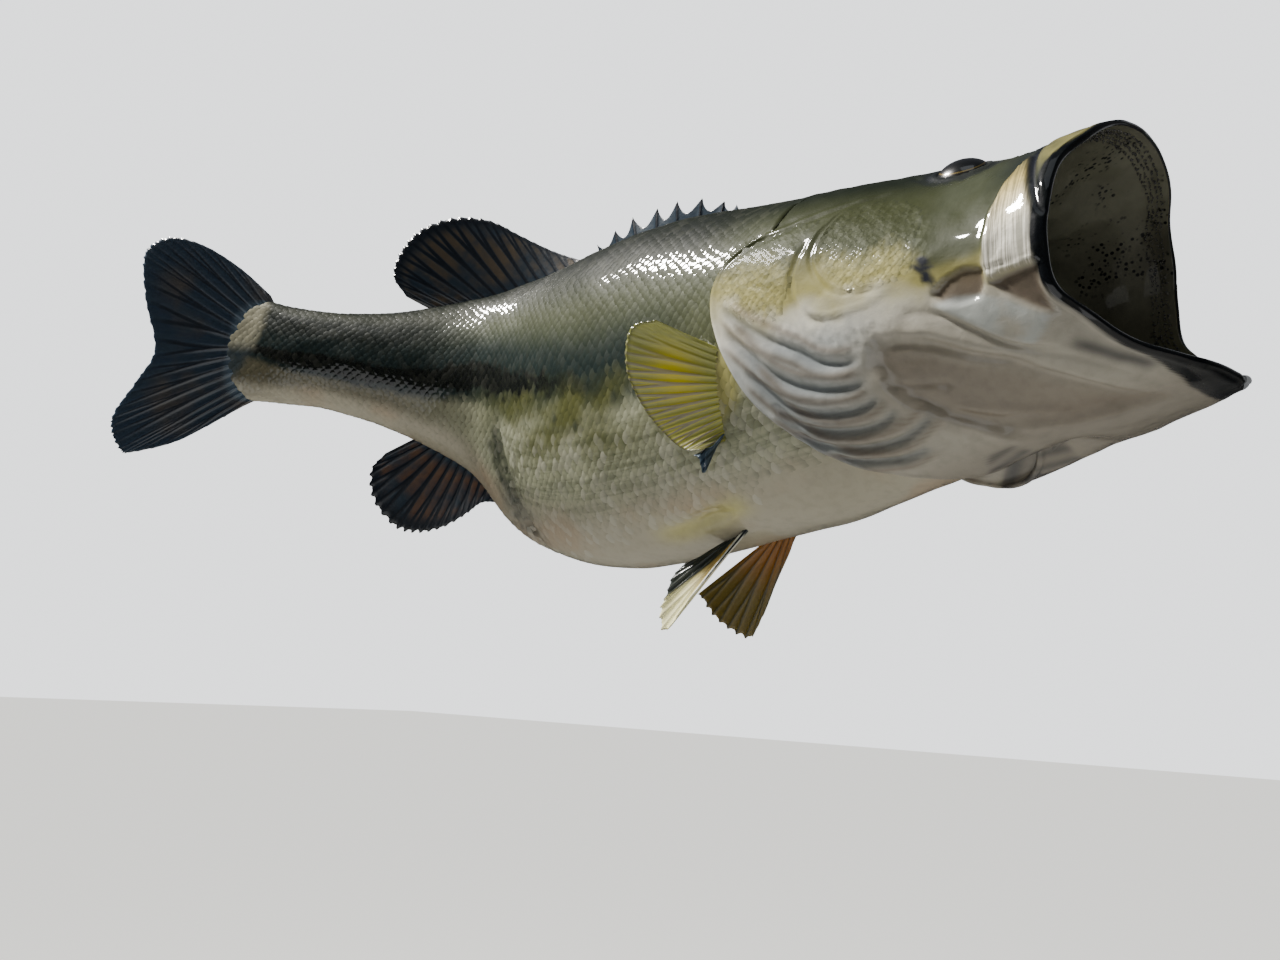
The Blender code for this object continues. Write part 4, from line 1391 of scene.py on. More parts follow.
class Tree:
    """The nodes of one material, or of the world."""

    def __init__(self, name: str, world: bool = False) -> None:
        """Start a material or a world.

        Args:
            name: its name.
            world: whether it is a world.
        """
        self.owner = (bpy.data.worlds if world else bpy.data.materials).new(name)
        self.owner.use_nodes = True
        self.nodes = self.owner.node_tree.nodes
        self.links = self.owner.node_tree.links

    def put(self, socket: bpy.types.NodeSocket, value: Union[Socket, Colour, float]) -> None:
        """Link a value into an input, or set it there.

        Args:
            socket: the input.
            value: a node's output, a colour or a number.
        """
        if isinstance(value, Socket):
            self.links.new(value.output, socket)
        elif isinstance(value, tuple) and socket.type == "RGBA":
            socket.default_value = (*value, 1.0)
        else:
            socket.default_value = value

    def node(self, kind: str, inputs: dict[Union[int, str], object],
             **settings: object) -> bpy.types.Node:
        """Add a node.

        Args:
            kind: its type.
            inputs: what goes into its inputs, by number or name.
            settings: attributes to set first.

        Returns:
            The node.
        """
        node = self.nodes.new(kind)
        for name, value in settings.items():
            setattr(node, name, value)
        for key, value in inputs.items():
            self.put(node.inputs[key], value)
        return node

    def out(self, kind: str, inputs: dict[Union[int, str], object],
            output: Union[int, str] = 0, **settings: object) -> Socket:
        """Add a node, as node does, for what comes out of one of its outputs."""
        return Socket(self, self.node(kind, inputs, **settings).outputs[output])

    def mark(self, mark: Mark, output: str = "Fac") -> Socket:
        """A mark that the piece carries, as a number or as a vector."""
        return self.out("ShaderNodeAttribute", {}, output, attribute_name=mark.value)

    def blade(self) -> tuple[Socket, Socket, Socket]:
        """What a fin carries: the ridge of its rays, the way out and the way across."""
        return self.mark(Mark.RAY), self.mark(Mark.SPAN), self.mark(Mark.TONE)

    def place(self) -> Socket:
        """Where a point of the piece is."""
        return self.out("ShaderNodeTexCoord", {}, "Object")

    def stretch(self, vector: Socket, scale: Triple) -> Socket:
        """A vector multiplied by three numbers."""
        return self.out("ShaderNodeVectorMath", {0: vector, 1: scale}, operation="MULTIPLY")

    def join(self, x: Number, y: Number, z: Number) -> Socket:
        """A vector from three numbers."""
        return self.out("ShaderNodeCombineXYZ", {0: x, 1: y, 2: z})

    def noise(self, vector: Socket, scale: float, detail: float = 3.0) -> Socket:
        """Soft noise, 0 to 1."""
        return self.out("ShaderNodeTexNoise", {"Vector": vector, "Scale": scale, "Detail": detail})

    def cells(self, vector: Socket, scale: float) -> Socket:
        """Distance from the middle of rounded cells."""
        return self.out("ShaderNodeTexVoronoi", {"Vector": vector, "Scale": scale})

    def bump(self, height: Socket, depth: float, strength: float = 1.0) -> None:
        """Raise the surface's shading by a height."""
        raised = {"Height": height, "Distance": depth, "Strength": strength}
        self.finish(Normal=self.out("ShaderNodeBump", raised))

    def finish(self, **inputs: Union[Socket, Colour, float]) -> Material:
        """Feed the surface's inputs, named with underscores for spaces."""
        for name, value in inputs.items():
            self.put(self.nodes["Principled BSDF"].inputs[name.replace("_", " ")], value)
        return self.owner


@dataclass(frozen=True)
class Skintone:
    """The colours of the painted and lacquered fish."""

    back: Colour = tint(14, 19, 13)
    upper: Colour = tint(72, 76, 54)
    blue_grey: Colour = tint(24, 36, 36)
    band: Colour = tint(6, 10, 8)
    rear_low: Colour = tint(92, 88, 70)
    olive: Colour = tint(78, 80, 44)
    grey: Colour = tint(146, 148, 124)
    cream: Colour = tint(150, 145, 127)
    flush: Colour = tint(154, 132, 106)
    yellow: Colour = tint(172, 166, 104)
    # dark grey for the flank's own spots and for the painted shade in the vent fold
    fold_shade_and_spot_grey: Colour = tint(44, 50, 42)
    tail_pale: Colour = tint(156, 152, 130)
    tail_blue: Colour = tint(50, 62, 70)
    # dark olive for the fine grain, and for the painted shade at the scales' buried roots
    grain_and_root_shade: Colour = tint(40, 44, 32)
    nape: Colour = tint(16, 22, 12)
    moss: Colour = tint(50, 54, 32)
    gold: Colour = tint(138, 132, 82)
    pearl: Colour = tint(176, 174, 160)
    cover_white: Colour = tint(208, 205, 194)
    front: Colour = tint(62, 66, 50)
    snout: Colour = tint(26, 32, 26)
    plate_gold: Colour = tint(168, 150, 92)
    plate_white: Colour = tint(198, 194, 182)
    ice: Colour = tint(160, 166, 164)
    jaw: Colour = tint(150, 146, 134)
    jaw_low: Colour = tint(124, 118, 106)
    # brown-pink for the gill folds' crests, and for the jaw's hollow and the recesses, where it is partly
    # painted shade
    hollow: Colour = tint(98, 86, 72)
    gill_pale: Colour = tint(168, 170, 166)
    # blue-grey of the gill skin, also the painted shade in the folds' grooves
    gill_blue: Colour = tint(76, 86, 92)
    # dark paint: painted shade in the lip groove and the recesses, and the head's own dark marks
    shade: Colour = tint(26, 28, 36)
    lip: Colour = tint(3, 6, 11)
    mouth: Colour = tint(134, 134, 116)
    mouth_dark: Colour = tint(62, 60, 50)
    mouth_gold: Colour = tint(90, 84, 30)
    mouth_teal: Colour = tint(20, 42, 40)

    def body(self, tree: Tree, x: Socket, turn: Socket, shift: Socket) -> Socket:
        """The trunk's colours, from the dark back to the pale belly.

        Args:
            tree: the material's nodes.
            x: place along the spine, in LENGTH.
            turn: share of the way from back to belly.
            shift: noise about zero that breaks the edges up.

        Returns:
            The colour.
        """
        along = (x + 0.62) * (1.0 / 0.72)
        around = turn + shift
        back_edge = along.curve(((0.0, 0.12), (0.2, 0.16), (0.31, 0.2), (0.45, 0.27), (0.65, 0.31),
                                 (0.82, 0.33), (1.0, 0.34)))
        band_top = along.curve(((0.0, 0.47), (0.065, 0.478), (0.125, 0.493), (0.197, 0.5),
                                (0.268, 0.505), (0.33, 0.488), (0.405, 0.468), (0.515, 0.478),
                                (0.62, 0.5), (1.0, 0.52)))
        band_low = along.curve(((0.0, 0.53), (0.068, 0.54), (0.13, 0.6), (0.2, 0.62),
                                (0.272, 0.61), (0.336, 0.584), (0.412, 0.545), (0.517, 0.52),
                                (0.597, 0.516), (1.0, 0.52)))
        rear = along.rise(0.46, 0.24)
        colour = (around - back_edge).rise(-0.1, 0.13).blend(self.back, self.upper)
        colour = (rear * (around - back_edge).rise(0.02, 0.14)).blend(colour, self.blue_grey)
        colour = (rear * around.rise(0.46, 0.36) * 0.75).blend(colour, self.back)
        nape = x.rise(-0.04, 0.045) * around.rise(0.4, 0.3)
        colour = nape.blend(colour, around.rise(0.17, 0.3).blend(self.nape, self.moss))
        zone = (around - band_top).rise(-0.15, -0.03) * along.rise(0.86, 0.74)
        colour = (zone * 0.95).blend(colour, self.blue_grey)
        below = (around - band_low).rise(0.01, 0.06)
        colour = below.blend(colour, rear.blend(self.grey, self.rear_low))
        olive = (around - band_low).rise(-0.03, 0.02) * (around - band_low).rise(0.17, 0.06)
        olive = olive * along.rise(0.36, 0.52)
        colour = (olive * tree.noise(tree.place(), 38.0).rise(0.25, 0.6)).blend(colour, self.olive)
        rows = tree.noise(tree.join(x * 14.0, turn * 70.0, 0.0), 1.0, 3.0).rise(0.42, 0.62)
        rows = rows * around.rise(0.54, 0.6) * around.rise(0.86, 0.74) * along.rise(0.4, 0.52)
        colour = (rows * 0.45).blend(colour, self.upper)
        colour = around.rise(0.68, 0.8).blend(colour, self.cream)
        flush = tree.noise(tree.place(), 26.0).rise(0.46, 0.66) * around.rise(0.7, 0.8)
        colour = (flush * 0.55).blend(colour, self.flush)
        ragged = (tree.noise(tree.place(), 190.0, 2.0) - 0.5) * 0.06 + around
        band = (ragged - band_top).rise(-0.012, 0.016) * (ragged - band_low).rise(0.016, -0.012)
        colour = (band * along.rise(0.8, 0.58)).blend(colour, self.band)
        tail = (x + (turn - 0.3) * (turn - 0.3) * 0.12 + shift * 0.2).rise(-0.572, -0.586)
        colour = (tail * 0.85).blend(colour, around.rise(0.44, 0.56).blend(self.tail_pale,
                                                                        self.tail_blue))
        colour = (tree.mark(Mark.WARM) * 0.75).blend(colour, self.yellow)
        # DARK here is painted shade at the vent fold, plus the flank's own dark spots
        return tree.mark(Mark.DARK).blend(colour, self.fold_shade_and_spot_grey)

    def head(self, tree: Tree, x: Socket, turn: Socket, shift: Socket) -> Socket:
        """The head's colours, as body gives the trunk's.

        Args:
            tree: the material's nodes.
            x: place along the spine, in LENGTH.
            turn: share of the way from back to belly.
            shift: noise about zero that breaks the edges up.

        Returns:
            The colour.
        """
        around = turn + shift
        streaks = tree.noise(tree.join(x * 60.0, turn * 9.0, 0.0), 1.0)
        patchy = tree.noise(tree.place(), 60.0, 4.0)
        colour = around.rise(0.17, 0.3).blend(self.nape, self.moss)
        drop = x.rise(0.15, 0.21) * 0.065 + x.rise(0.0, 0.09) * 0.03
        gold = (around - drop + (patchy - 0.5) * 0.12).rise(0.335, 0.435)
        colour = gold.blend(colour, self.gold)
        colour = (around - drop + (patchy - 0.5) * 0.1).rise(0.43, 0.53).blend(colour, self.cover_white)
        ahead = (x + (patchy - 0.5) * 0.012).rise(0.172, 0.19) * turn.rise(0.53, 0.46)
        colour = (ahead * 0.9).blend(colour, streaks.rise(0.3, 0.7).blend(self.front, self.moss))
        colour = (x.rise(0.205, 0.235) * around.rise(0.4, 0.26)).blend(colour, self.snout)
        below = (turn + (patchy - 0.5) * 0.08).rise(0.5, 0.575)
        gill = (patchy - 0.5) * 0.3 + 0.2
        gill = gill.clamp().blend(self.gill_pale, self.gill_blue)
        jaw = around.rise(0.78, 0.9).blend(self.jaw, self.jaw_low)
        low = (x + (turn - 0.58) * 0.18).rise(0.105, 0.165).blend(gill, jaw)
        colour = below.blend(colour, low)
        grain = (tree.cells(tree.place(), 330.0).rise(0.35, 0.75) * tree.mark(Mark.GILT) * 0.22)
        # COLD: painted shade in the gill folds' grooves; WARM: the crests' brown-pink, and painted shade
        # in the jaw's hollow and the recesses
        colour = colour.under(
            (grain, self.moss),
            (tree.mark(Mark.COLD) * 0.6, self.gill_blue),
            (tree.mark(Mark.WARM) * 0.9, self.hollow),
            (tree.mark(Mark.ICE) * patchy.rise(0.3, 0.55) * 0.7, self.ice))
        strip = turn.rise(0.36, 0.28) * x.rise(0.244, 0.248)
        colour = (strip * 0.85).blend(colour, patchy.rise(0.35, 0.65).blend(self.front, self.gold))
        ridges = tree.noise(tree.join(x * 900.0, turn * 7.0, 0.0), 1.0, 2.0).rise(0.4, 0.62)
        plate = turn.rise(0.32, 0.48).blend(self.plate_gold, self.plate_white)
        plate = turn.rise(0.34, 0.24).blend(plate, self.front)
        plate = (ridges * 0.55).blend(plate, self.moss)
        colour = tree.mark(Mark.PLATE).blend(colour, plate)
        # DARK: painted shade in the lip groove and the recesses, and the head's own dark marks
        colour = tree.mark(Mark.DARK).blend(colour, self.shade)
        return tree.mark(Mark.LIP).blend(colour, self.lip)

    def mouth_colour(self, tree: Tree, turn: Socket) -> Socket:
        """The lining's colours: grey-brown, speckled, olive at the sides and teal below.

        Args:
            tree: the material's nodes.
            turn: share of the way from back to belly.

        Returns:
            The colour.
        """
        clouds = tree.noise(tree.place(), 16.0, 4.0).rise(0.2, 0.8)
        colour = clouds.blend(self.mouth_dark, self.mouth)
        colour = (turn.hill(0.6, 0.15) * clouds * 0.8).blend(colour, self.mouth_gold)
        colour = (turn.rise(0.74, 0.92) * 0.7).blend(colour, self.mouth_teal)
        specks = tree.cells(tree.place(), 520.0).rise(0.45, 0.25)
        specks = specks * tree.noise(tree.place(), 60.0, 3.0).rise(0.52, 0.6)
        return specks.blend(colour, self.lip)

    def material(self, name: str, loose: bool) -> Material:
        """The finish of the skin or of the scales on it.

        Args:
            name: the material's name.
            loose: for scales, which carry their own tone and a darker root, painted as shade under the
                scale ahead.

        Returns:
            The material.
        """
        tree = Tree(name)
        x, turn, _ = tree.mark(Mark.BODY, "Vector").parts()
        shift = (tree.noise(tree.place(), 21.0) - 0.5) * 0.05
        on_head = tree.mark(Mark.HEAD)
        if loose:
            shift = shift + (tree.mark(Mark.TONE) - 0.5) * 0.014
        colour = on_head.blend(self.body(tree, x, turn, shift), self.head(tree, x, turn, shift))
        mouth = tree.mark(Mark.MOUTH)
        colour = mouth.blend(colour, self.mouth_colour(tree, turn))
        fine = tree.noise(tree.place(), 240.0, 4.0)
        colour = ((fine - 0.45) * 0.5).clamp().blend(colour, self.grain_and_root_shade)
        if loose:
            mottled = turn.rise(0.56, 0.64) * x.rise(-0.36, -0.2) * 0.34 + 0.03
            tone = tree.mark(Mark.TONE)
            colour = (tone.rise(0.45, 1.0) * mottled * (1.0 - on_head)).blend(colour, self.pearl)
            # painted shade: the front of each scale darkens where the scale ahead lies over it
            root = tree.mark(Mark.RIM).rise(0.8, 0.4) * (turn.rise(0.84, 0.7) * 0.3 + 0.12)
            colour = root.blend(colour, self.grain_and_root_shade)
        silver = turn.rise(0.26, 0.36) * turn.rise(0.95, 0.7) * (1.0 - on_head)
        metal = (silver * 0.05).most(tree.mark(Mark.GILT) * 0.05).most(tree.mark(Mark.PLATE) * 0.16)
        metal = metal * (1.0 - mouth) * (1.0 - tree.mark(Mark.LIP))
        crackle = tree.cells(tree.place(), 330.0) * tree.mark(Mark.GILT)
        tree.bump(fine + tree.noise(tree.place(), 900.0, 2.0) * 0.3 + crackle * 1.2, 0.00018)
        quiet = turn.rise(0.2, 0.11).most(turn.rise(0.44, 0.32) * x.rise(-0.3, -0.36))
        cover = x.rise(-0.03, 0.01) * x.rise(0.17, 0.13) * turn.rise(0.46, 0.38)
        quiet = (quiet * (1.0 - on_head)).most(cover * (1.0 - tree.mark(Mark.GILT)))
        tip = x.rise(0.296, 0.306) * tree.mark(Mark.LIP)
        coat = 0.7 - mouth * 0.55 - tree.mark(Mark.GILT) * 0.68 - quiet * 0.45 - tip * 0.35
        return tree.finish(Base_Color=colour, Metallic=metal.clamp(), Roughness=0.5,
                           Coat_Weight=coat.clamp(), Coat_Roughness=0.05,
                           Coat_IOR=1.5, Specular_IOR_Level=0.04)


TONE = Skintone()


# ---- scales
@dataclass(frozen=True)
class Skirt:
    """Half of a scale's plan, from its buried front to its free rear edge."""

    rows: tuple[float, ...] = (0.0, 0.4, 0.72, 0.91, 1.0)
    widths: tuple[float, ...] = (0.5, 0.94, 1.0, 0.78, 0.42)
    columns: tuple[float, ...] = (-1.0, -0.55, 0.0, 0.55, 1.0)
    rounding: float = 0.05


@dataclass(frozen=True)
class ScaleForm:
    """One scale: a low dome that lies under the ones ahead of it and over the ones behind.

    Lengths across and along are shares of the spacing; heights are millimetres.
    """

    plan: Skirt = Skirt()
    length: float = 1.55
    half_width: float = 1.12
    buried: float = -0.3
    raised: float = 0.26
    dome: float = 0.1
    lean: float = 0.9
    droop: float = 0.08

    def corners(self) -> tuple[Array, Array, Array, Array]:
        """Where its corners lie.

        Returns:
            How far back each lies, how far across, its height, and its share along the scale.
        """
        along, across = np.meshgrid(self.plan.rows, self.plan.columns, indexing="ij")
        width = np.interp(along, self.plan.rows, self.plan.widths)
        back = (along - self.plan.rounding * across**2 * along) * self.length
        height = self.buried + (self.raised - self.buried) * along**self.lean
        inner = (np.abs(across) < 1.0) & (along > 0.0) & (along < 1.0)
        height = height + self.dome * (1.0 - across**2) * inner - self.droop * across**2 * along
        return (back.ravel(), (across * width).ravel() * self.half_width, height.ravel(),
                along.ravel())

    def faces(self) -> tuple[list[list[int]], list[int]]:
        """Its top faces and its underside, as corner numbers."""
        rows, columns = len(self.plan.rows), len(self.plan.columns)
        top = [[row * columns + column, row * columns + column + 1,
                (row + 1) * columns + column + 1, (row + 1) * columns + column]
               for row in range(rows - 1) for column in range(columns - 1)]
        last = (rows - 1) * columns
        rim = list(range(columns)) + [row * columns + columns - 1 for row in range(1, rows)]
        rim += list(range(last + columns - 2, last - 1, -1))
        rim += [row * columns for row in range(rows - 2, 0, -1)]
        return top, rim


@dataclass
class Lattice:
    """Rows of scale places over one side of the fish."""

    spacing: Points                 # x, millimetres between scales along the body
    pitch: Points                   # x, millimetres between rows across it
    middle: Points                  # x, z of the row that the others are counted from
    surface: Callable[[Array, Array, Array], Array]
    span: tuple[float, float] = (-0.63, 0.1)
    steps: int = 220
    overshoot: float = 25.0
    ring_steps: int = 400
    flank: tuple[float, float] = (20.0, 160.0)
    reach: int = 60                 # rows on either side of the middle one
    fine: int = 10                  # steps from row to row

    def __post_init__(self) -> None:
        """Measure the body, so that places can be found by row and column."""
        self.x = np.linspace(*self.span, self.steps)
        step = (self.x[1] - self.x[0]) / MM
        spacing = np.interp(self.x, *np.transpose(self.spacing))
        self.column = np.concatenate([[0.0], np.cumsum(step / (0.5 * (spacing[1:] + spacing[:-1])))])
        fine = np.linspace(-self.overshoot, 180.0 + self.overshoot, self.ring_steps)
        ring = self.surface(self.x[:, None], fine[None, :], 0.0)
        run = np.linalg.norm(np.diff(ring, axis=1), axis=2) / MM
        arc = np.concatenate([np.zeros((self.steps, 1)), np.cumsum(run, axis=1)], axis=1)
        middle = np.interp(self.x, *np.transpose(self.middle))
        pitch = np.interp(self.x, *np.transpose(self.pitch))
        side = (fine > self.flank[0]) & (fine < self.flank[1])
        self.rows = np.linspace(-self.reach, self.reach, 2 * self.reach * self.fine + 1)
        self.angle = np.empty((self.steps, len(self.rows)))
        for index in range(self.steps):
            start = np.interp(-middle[index], -ring[index, side, 2], arc[index, side])
            self.angle[index] = np.interp(self.rows * pitch[index] + start, arc[index], fine)

    def find(self, column: Array, row: Array) -> tuple[Array, Array]:
        """Where a column and row of the lattice lie.

        Args:
            column: columns, whole or not, counted forward.
            row: rows, counted down from the middle one.

        Returns:
            Places along the spine and angles.
        """
        x = np.interp(column, self.column, self.x)
        across = np.clip((x - self.x[0]) / (self.x[1] - self.x[0]), 0.0, self.steps - 1.001)
        down = (row - self.rows[0]) / (self.rows[1] - self.rows[0])
        down = np.clip(down, 0.0, len(self.rows) - 1.001)
        left, top = across.astype(int), down.astype(int)
        a, b = across - left, down - top
        upper = self.angle[left, top] * (1.0 - b) + self.angle[left, top + 1] * b
        lower = self.angle[left + 1, top] * (1.0 - b) + self.angle[left + 1, top + 1] * b
        return x, upper * (1.0 - a) + lower * a

    def places(self) -> tuple[Array, Array]:
        """Every scale's column and row, each second row moved by half a scale."""
        count = int(self.column[-1])
        column, row = np.meshgrid(np.arange(count + 1.0), np.arange(-self.reach, self.reach + 1.0))
        return (column + 0.5 * (np.abs(row) % 2.0)).ravel(), row.ravel()


@dataclass
class Coat:
    """The scales of one area on one side, as one joined mesh."""

    name: str
    side: float
    lattice: Lattice
    form: ScaleForm
    finish: Material
    wanted: Callable[[Array, Array], Array]     # relief 0 to 1 at a place; none where it is 0
    unwrap: Callable[[Array, Array], Array]
    head: float = 0.0
    least: float = 0.12
    jitter: float = 0.05
    size_spread: float = 0.04
    tilt_spread: float = 0.035
    twist_spread: float = 0.03
    lead: float = 0.75              # how far ahead of its place a scale is rooted
    patch: float = 0.003

    def build(self) -> Piece:
        """Lay the scales.

        Returns:
            The finished piece.
        """
        chance = np.random.default_rng(SEED + int(self.side) + len(self.name))
        column, row = self.lattice.places()
        x, angle = self.lattice.find(column, row)
        relief = self.wanted(x, angle)
        keep = relief > self.least
        column, row, relief = column[keep], row[keep], relief[keep]
        count = len(column)
        back, across, height, along = self.form.corners()
        column = column + chance.normal(0.0, self.jitter, count)
        row = row + chance.normal(0.0, self.jitter, count)
        size = 1.0 + chance.normal(0.0, self.size_spread, count)[:, None]
        place_x, place_angle = self.lattice.find(column[:, None] + self.lead - back * size,
                                                 row[:, None] + across * size)
        tilt = chance.normal(0.0, self.tilt_spread, count)[:, None]
        twist = chance.normal(0.0, self.twist_spread, count)[:, None]
        raised = height + tilt * along + twist * across
        lift = np.where(height > 0.0, raised * relief[:, None], raised)
        point = self.lattice.surface(place_x, place_angle, lift)
        point[..., 1] *= self.side
        tone = np.repeat(chance.uniform(0.0, 1.0, count)[:, None], len(along), axis=1)
        marks = MARKINGS.of(Patch(point, place_x, place_angle, lift, head=self.head))
        marks[Mark.TONE] = tone
        marks[Mark.RIM] = np.broadcast_to(along, tone.shape)
        piece = self.mesh(placed(point.reshape(-1, 3)), count, x[keep], angle[keep], across, along)
        for mark, values in marks.items():
            flat = values.reshape(-1, 3) if mark is Mark.BODY else values.reshape(-1)
            write_mark(piece.data, mark, flat)
        activate(piece)
        bpy.ops.object.shade_smooth_by_angle(angle=math.radians(50.0))
        dress(piece, self.finish, "pale_skin")
        return piece

    def mesh(self, points: Array, count: int, x: Array, angle: Array, across: Array,
             along: Array) -> Piece:
        """Join the scales' corners into one mesh with its unwrap.

        Args:
            points: the corners' places.
            count: how many scales there are.
            x: each scale's place along the spine.
            angle: its angle.
            across: each corner's share across the scale.
            along: its share along it.

        Returns:
            The piece.
        """
        top, under = self.form.faces()
        if self.side < 0.0:
            top = [face[::-1] for face in top]
        else:
            under = under[::-1]
        each = len(along)
        starts = (np.arange(count) * each)[:, None]
        loops_one = np.array([corner for face in top for corner in face] + under)
        sizes_one = np.array([len(face) for face in top] + [len(under)])
        loops = (starts + loops_one).ravel()
        sizes = np.tile(sizes_one, count)
        data = bpy.data.meshes.new(self.name)
        data.vertices.add(len(points))
        data.vertices.foreach_set("co", points.astype(np.float32).ravel())
        data.loops.add(len(loops))
        data.loops.foreach_set("vertex_index", loops.astype(np.int32))
        data.polygons.add(len(sizes))
        data.polygons.foreach_set("loop_start", np.concatenate([[0], np.cumsum(sizes)[:-1]]))
        data.update(calc_edges=True)
        data.validate()
        root = self.unwrap(x, self.side * angle)[:, None, :]
        own = np.stack([0.5 * across, along - 0.5], axis=-1) * self.patch
        layer = data.uv_layers.new(name="OFBake")
        spread = (root + own).reshape(-1, 2)[loops]
        layer.data.foreach_set("uv", spread.astype(np.float32).ravel())
        piece = bpy.data.objects.new(self.name, data)
        bpy.context.scene.collection.objects.link(piece)
        return piece


TRUNK_SPACING = ((-0.62, 4.9), (-0.45, 5.2), (-0.2, 5.5), (0.1, 5.4))
TRUNK_PITCH = ((-0.62, 2.3), (-0.45, 2.5), (-0.28, 2.9), (-0.1, 3.1), (0.1, 3))
LATERAL_LINE = ((-0.62, 0.003), (-0.4, 0.004), (-0.2, 0.02), (0, 0.04), (0.1, 0.045))
HEAD_SPACING = ((0, 3.6), (0.08, 3.4), (0.11, 2.9), (0.2, 2.6))
HEAD_PITCH = ((0, 1.8), (0.08, 1.7), (0.11, 1.45), (0.2, 1.3))
HEAD_MIDDLE = ((0, 0), (0.2, 0))


def trunk_relief(x: Array, angle: Array) -> Array:
    """How much relief the trunk's scales have at a place; 0 where there are none.

    Args:
        x: places along the spine.
        angle: angles round the body from the back.

    Returns:
        The relief at each place.
    """
    around = fold(angle)
    under_flap = FORM.gill(around) + 0.012 * slit(around) - 0.008 * (1.0 - slit(around))
    inside = (x > FORM.tail_end(around) + 0.006) & (x < under_flap) & (np.abs(angle - 90.0) < 89.0)
    belly = smooth(142.0, 153.0, around) * smooth(-0.26, -0.17, x)
    nape = smooth(-0.02, 0.05, x) * smooth(55.0, 30.0, around)
    chest = smooth(-0.02, 0.035, x) * smooth(125.0, 140.0, around)
    near = distance(VENT_FOLD, x, around).gap
    wrinkled = bell(near, 5.0)
    smooth_skin = bell(distance(MARKINGS.belly_recess, x, around).gap, 14.0)
    bare = (1.0 - belly) * (1.0 - chest) * (1.0 - smooth_skin)
    return inside * bare * (1.0 - 0.75 * nape) * (1.0 - 0.55 * wrinkled)


def head_relief(x: Array, angle: Array) -> Array:
    """How much relief the scales of the cheek and the gill cover have at a place.

    Args:
        x: places along the spine.
        angle: angles round the body from the back.

    Returns:
        The relief at each place.
    """
    around = fold(angle)
    cover = region(COVER, x, around, 0.8)
    cheek = region(CHEEK, x, around, 0.8) * smooth(0.186, 0.168, x)
    return np.where(np.maximum(cover, cheek) > 0.5, 0.22 + 0.0 * x, 0.0)


# ---- fins
Curve = Callable[[Array], Array]


@dataclass(frozen=True)
class Rays:
    """How the rays of a fin stand on it. Sizes are millimetres or shares of the ray spacing."""

    count: int
    root_thick: float = 1.7
    edge_thick: float = 0.55
    ridge: float = 0.55
    width: float = 0.17
    fork_from: float = 0.35
    fork: float = 0.24
    notch: float = 0.035
    fray: float = 0.012
    wave: float = 0.8
    crowd: float = 1.0              # above 1, the rays stand closer toward the first one
    spiny: bool = False

    def parts(self, u: Array, v: Array) -> tuple[Array, Array]:
        """The ridge of the rays at a place on the fin.

        Args:
            u: shares 0 to 1 across the fin.
            v: shares 0 to 1 along it.

        Returns:
            The ridge, 0 to 1, and the place between two rays, -0.5 to 0.5.
        """
        between = (u**self.crowd * self.count) % 1.0 - 0.5
        if self.spiny:
            spine = (u * self.count + 0.5) % 1.0 - 0.5
            return bell(spine, self.width), spine
        fork = self.fork * smooth(self.fork_from, 1.0, v)
        width = self.width * (1.0 - 0.45 * smooth(self.fork_from, 1.0, v))
        ridge = np.maximum(bell(between - fork, width), bell(between + fork, width))
        return ridge, between


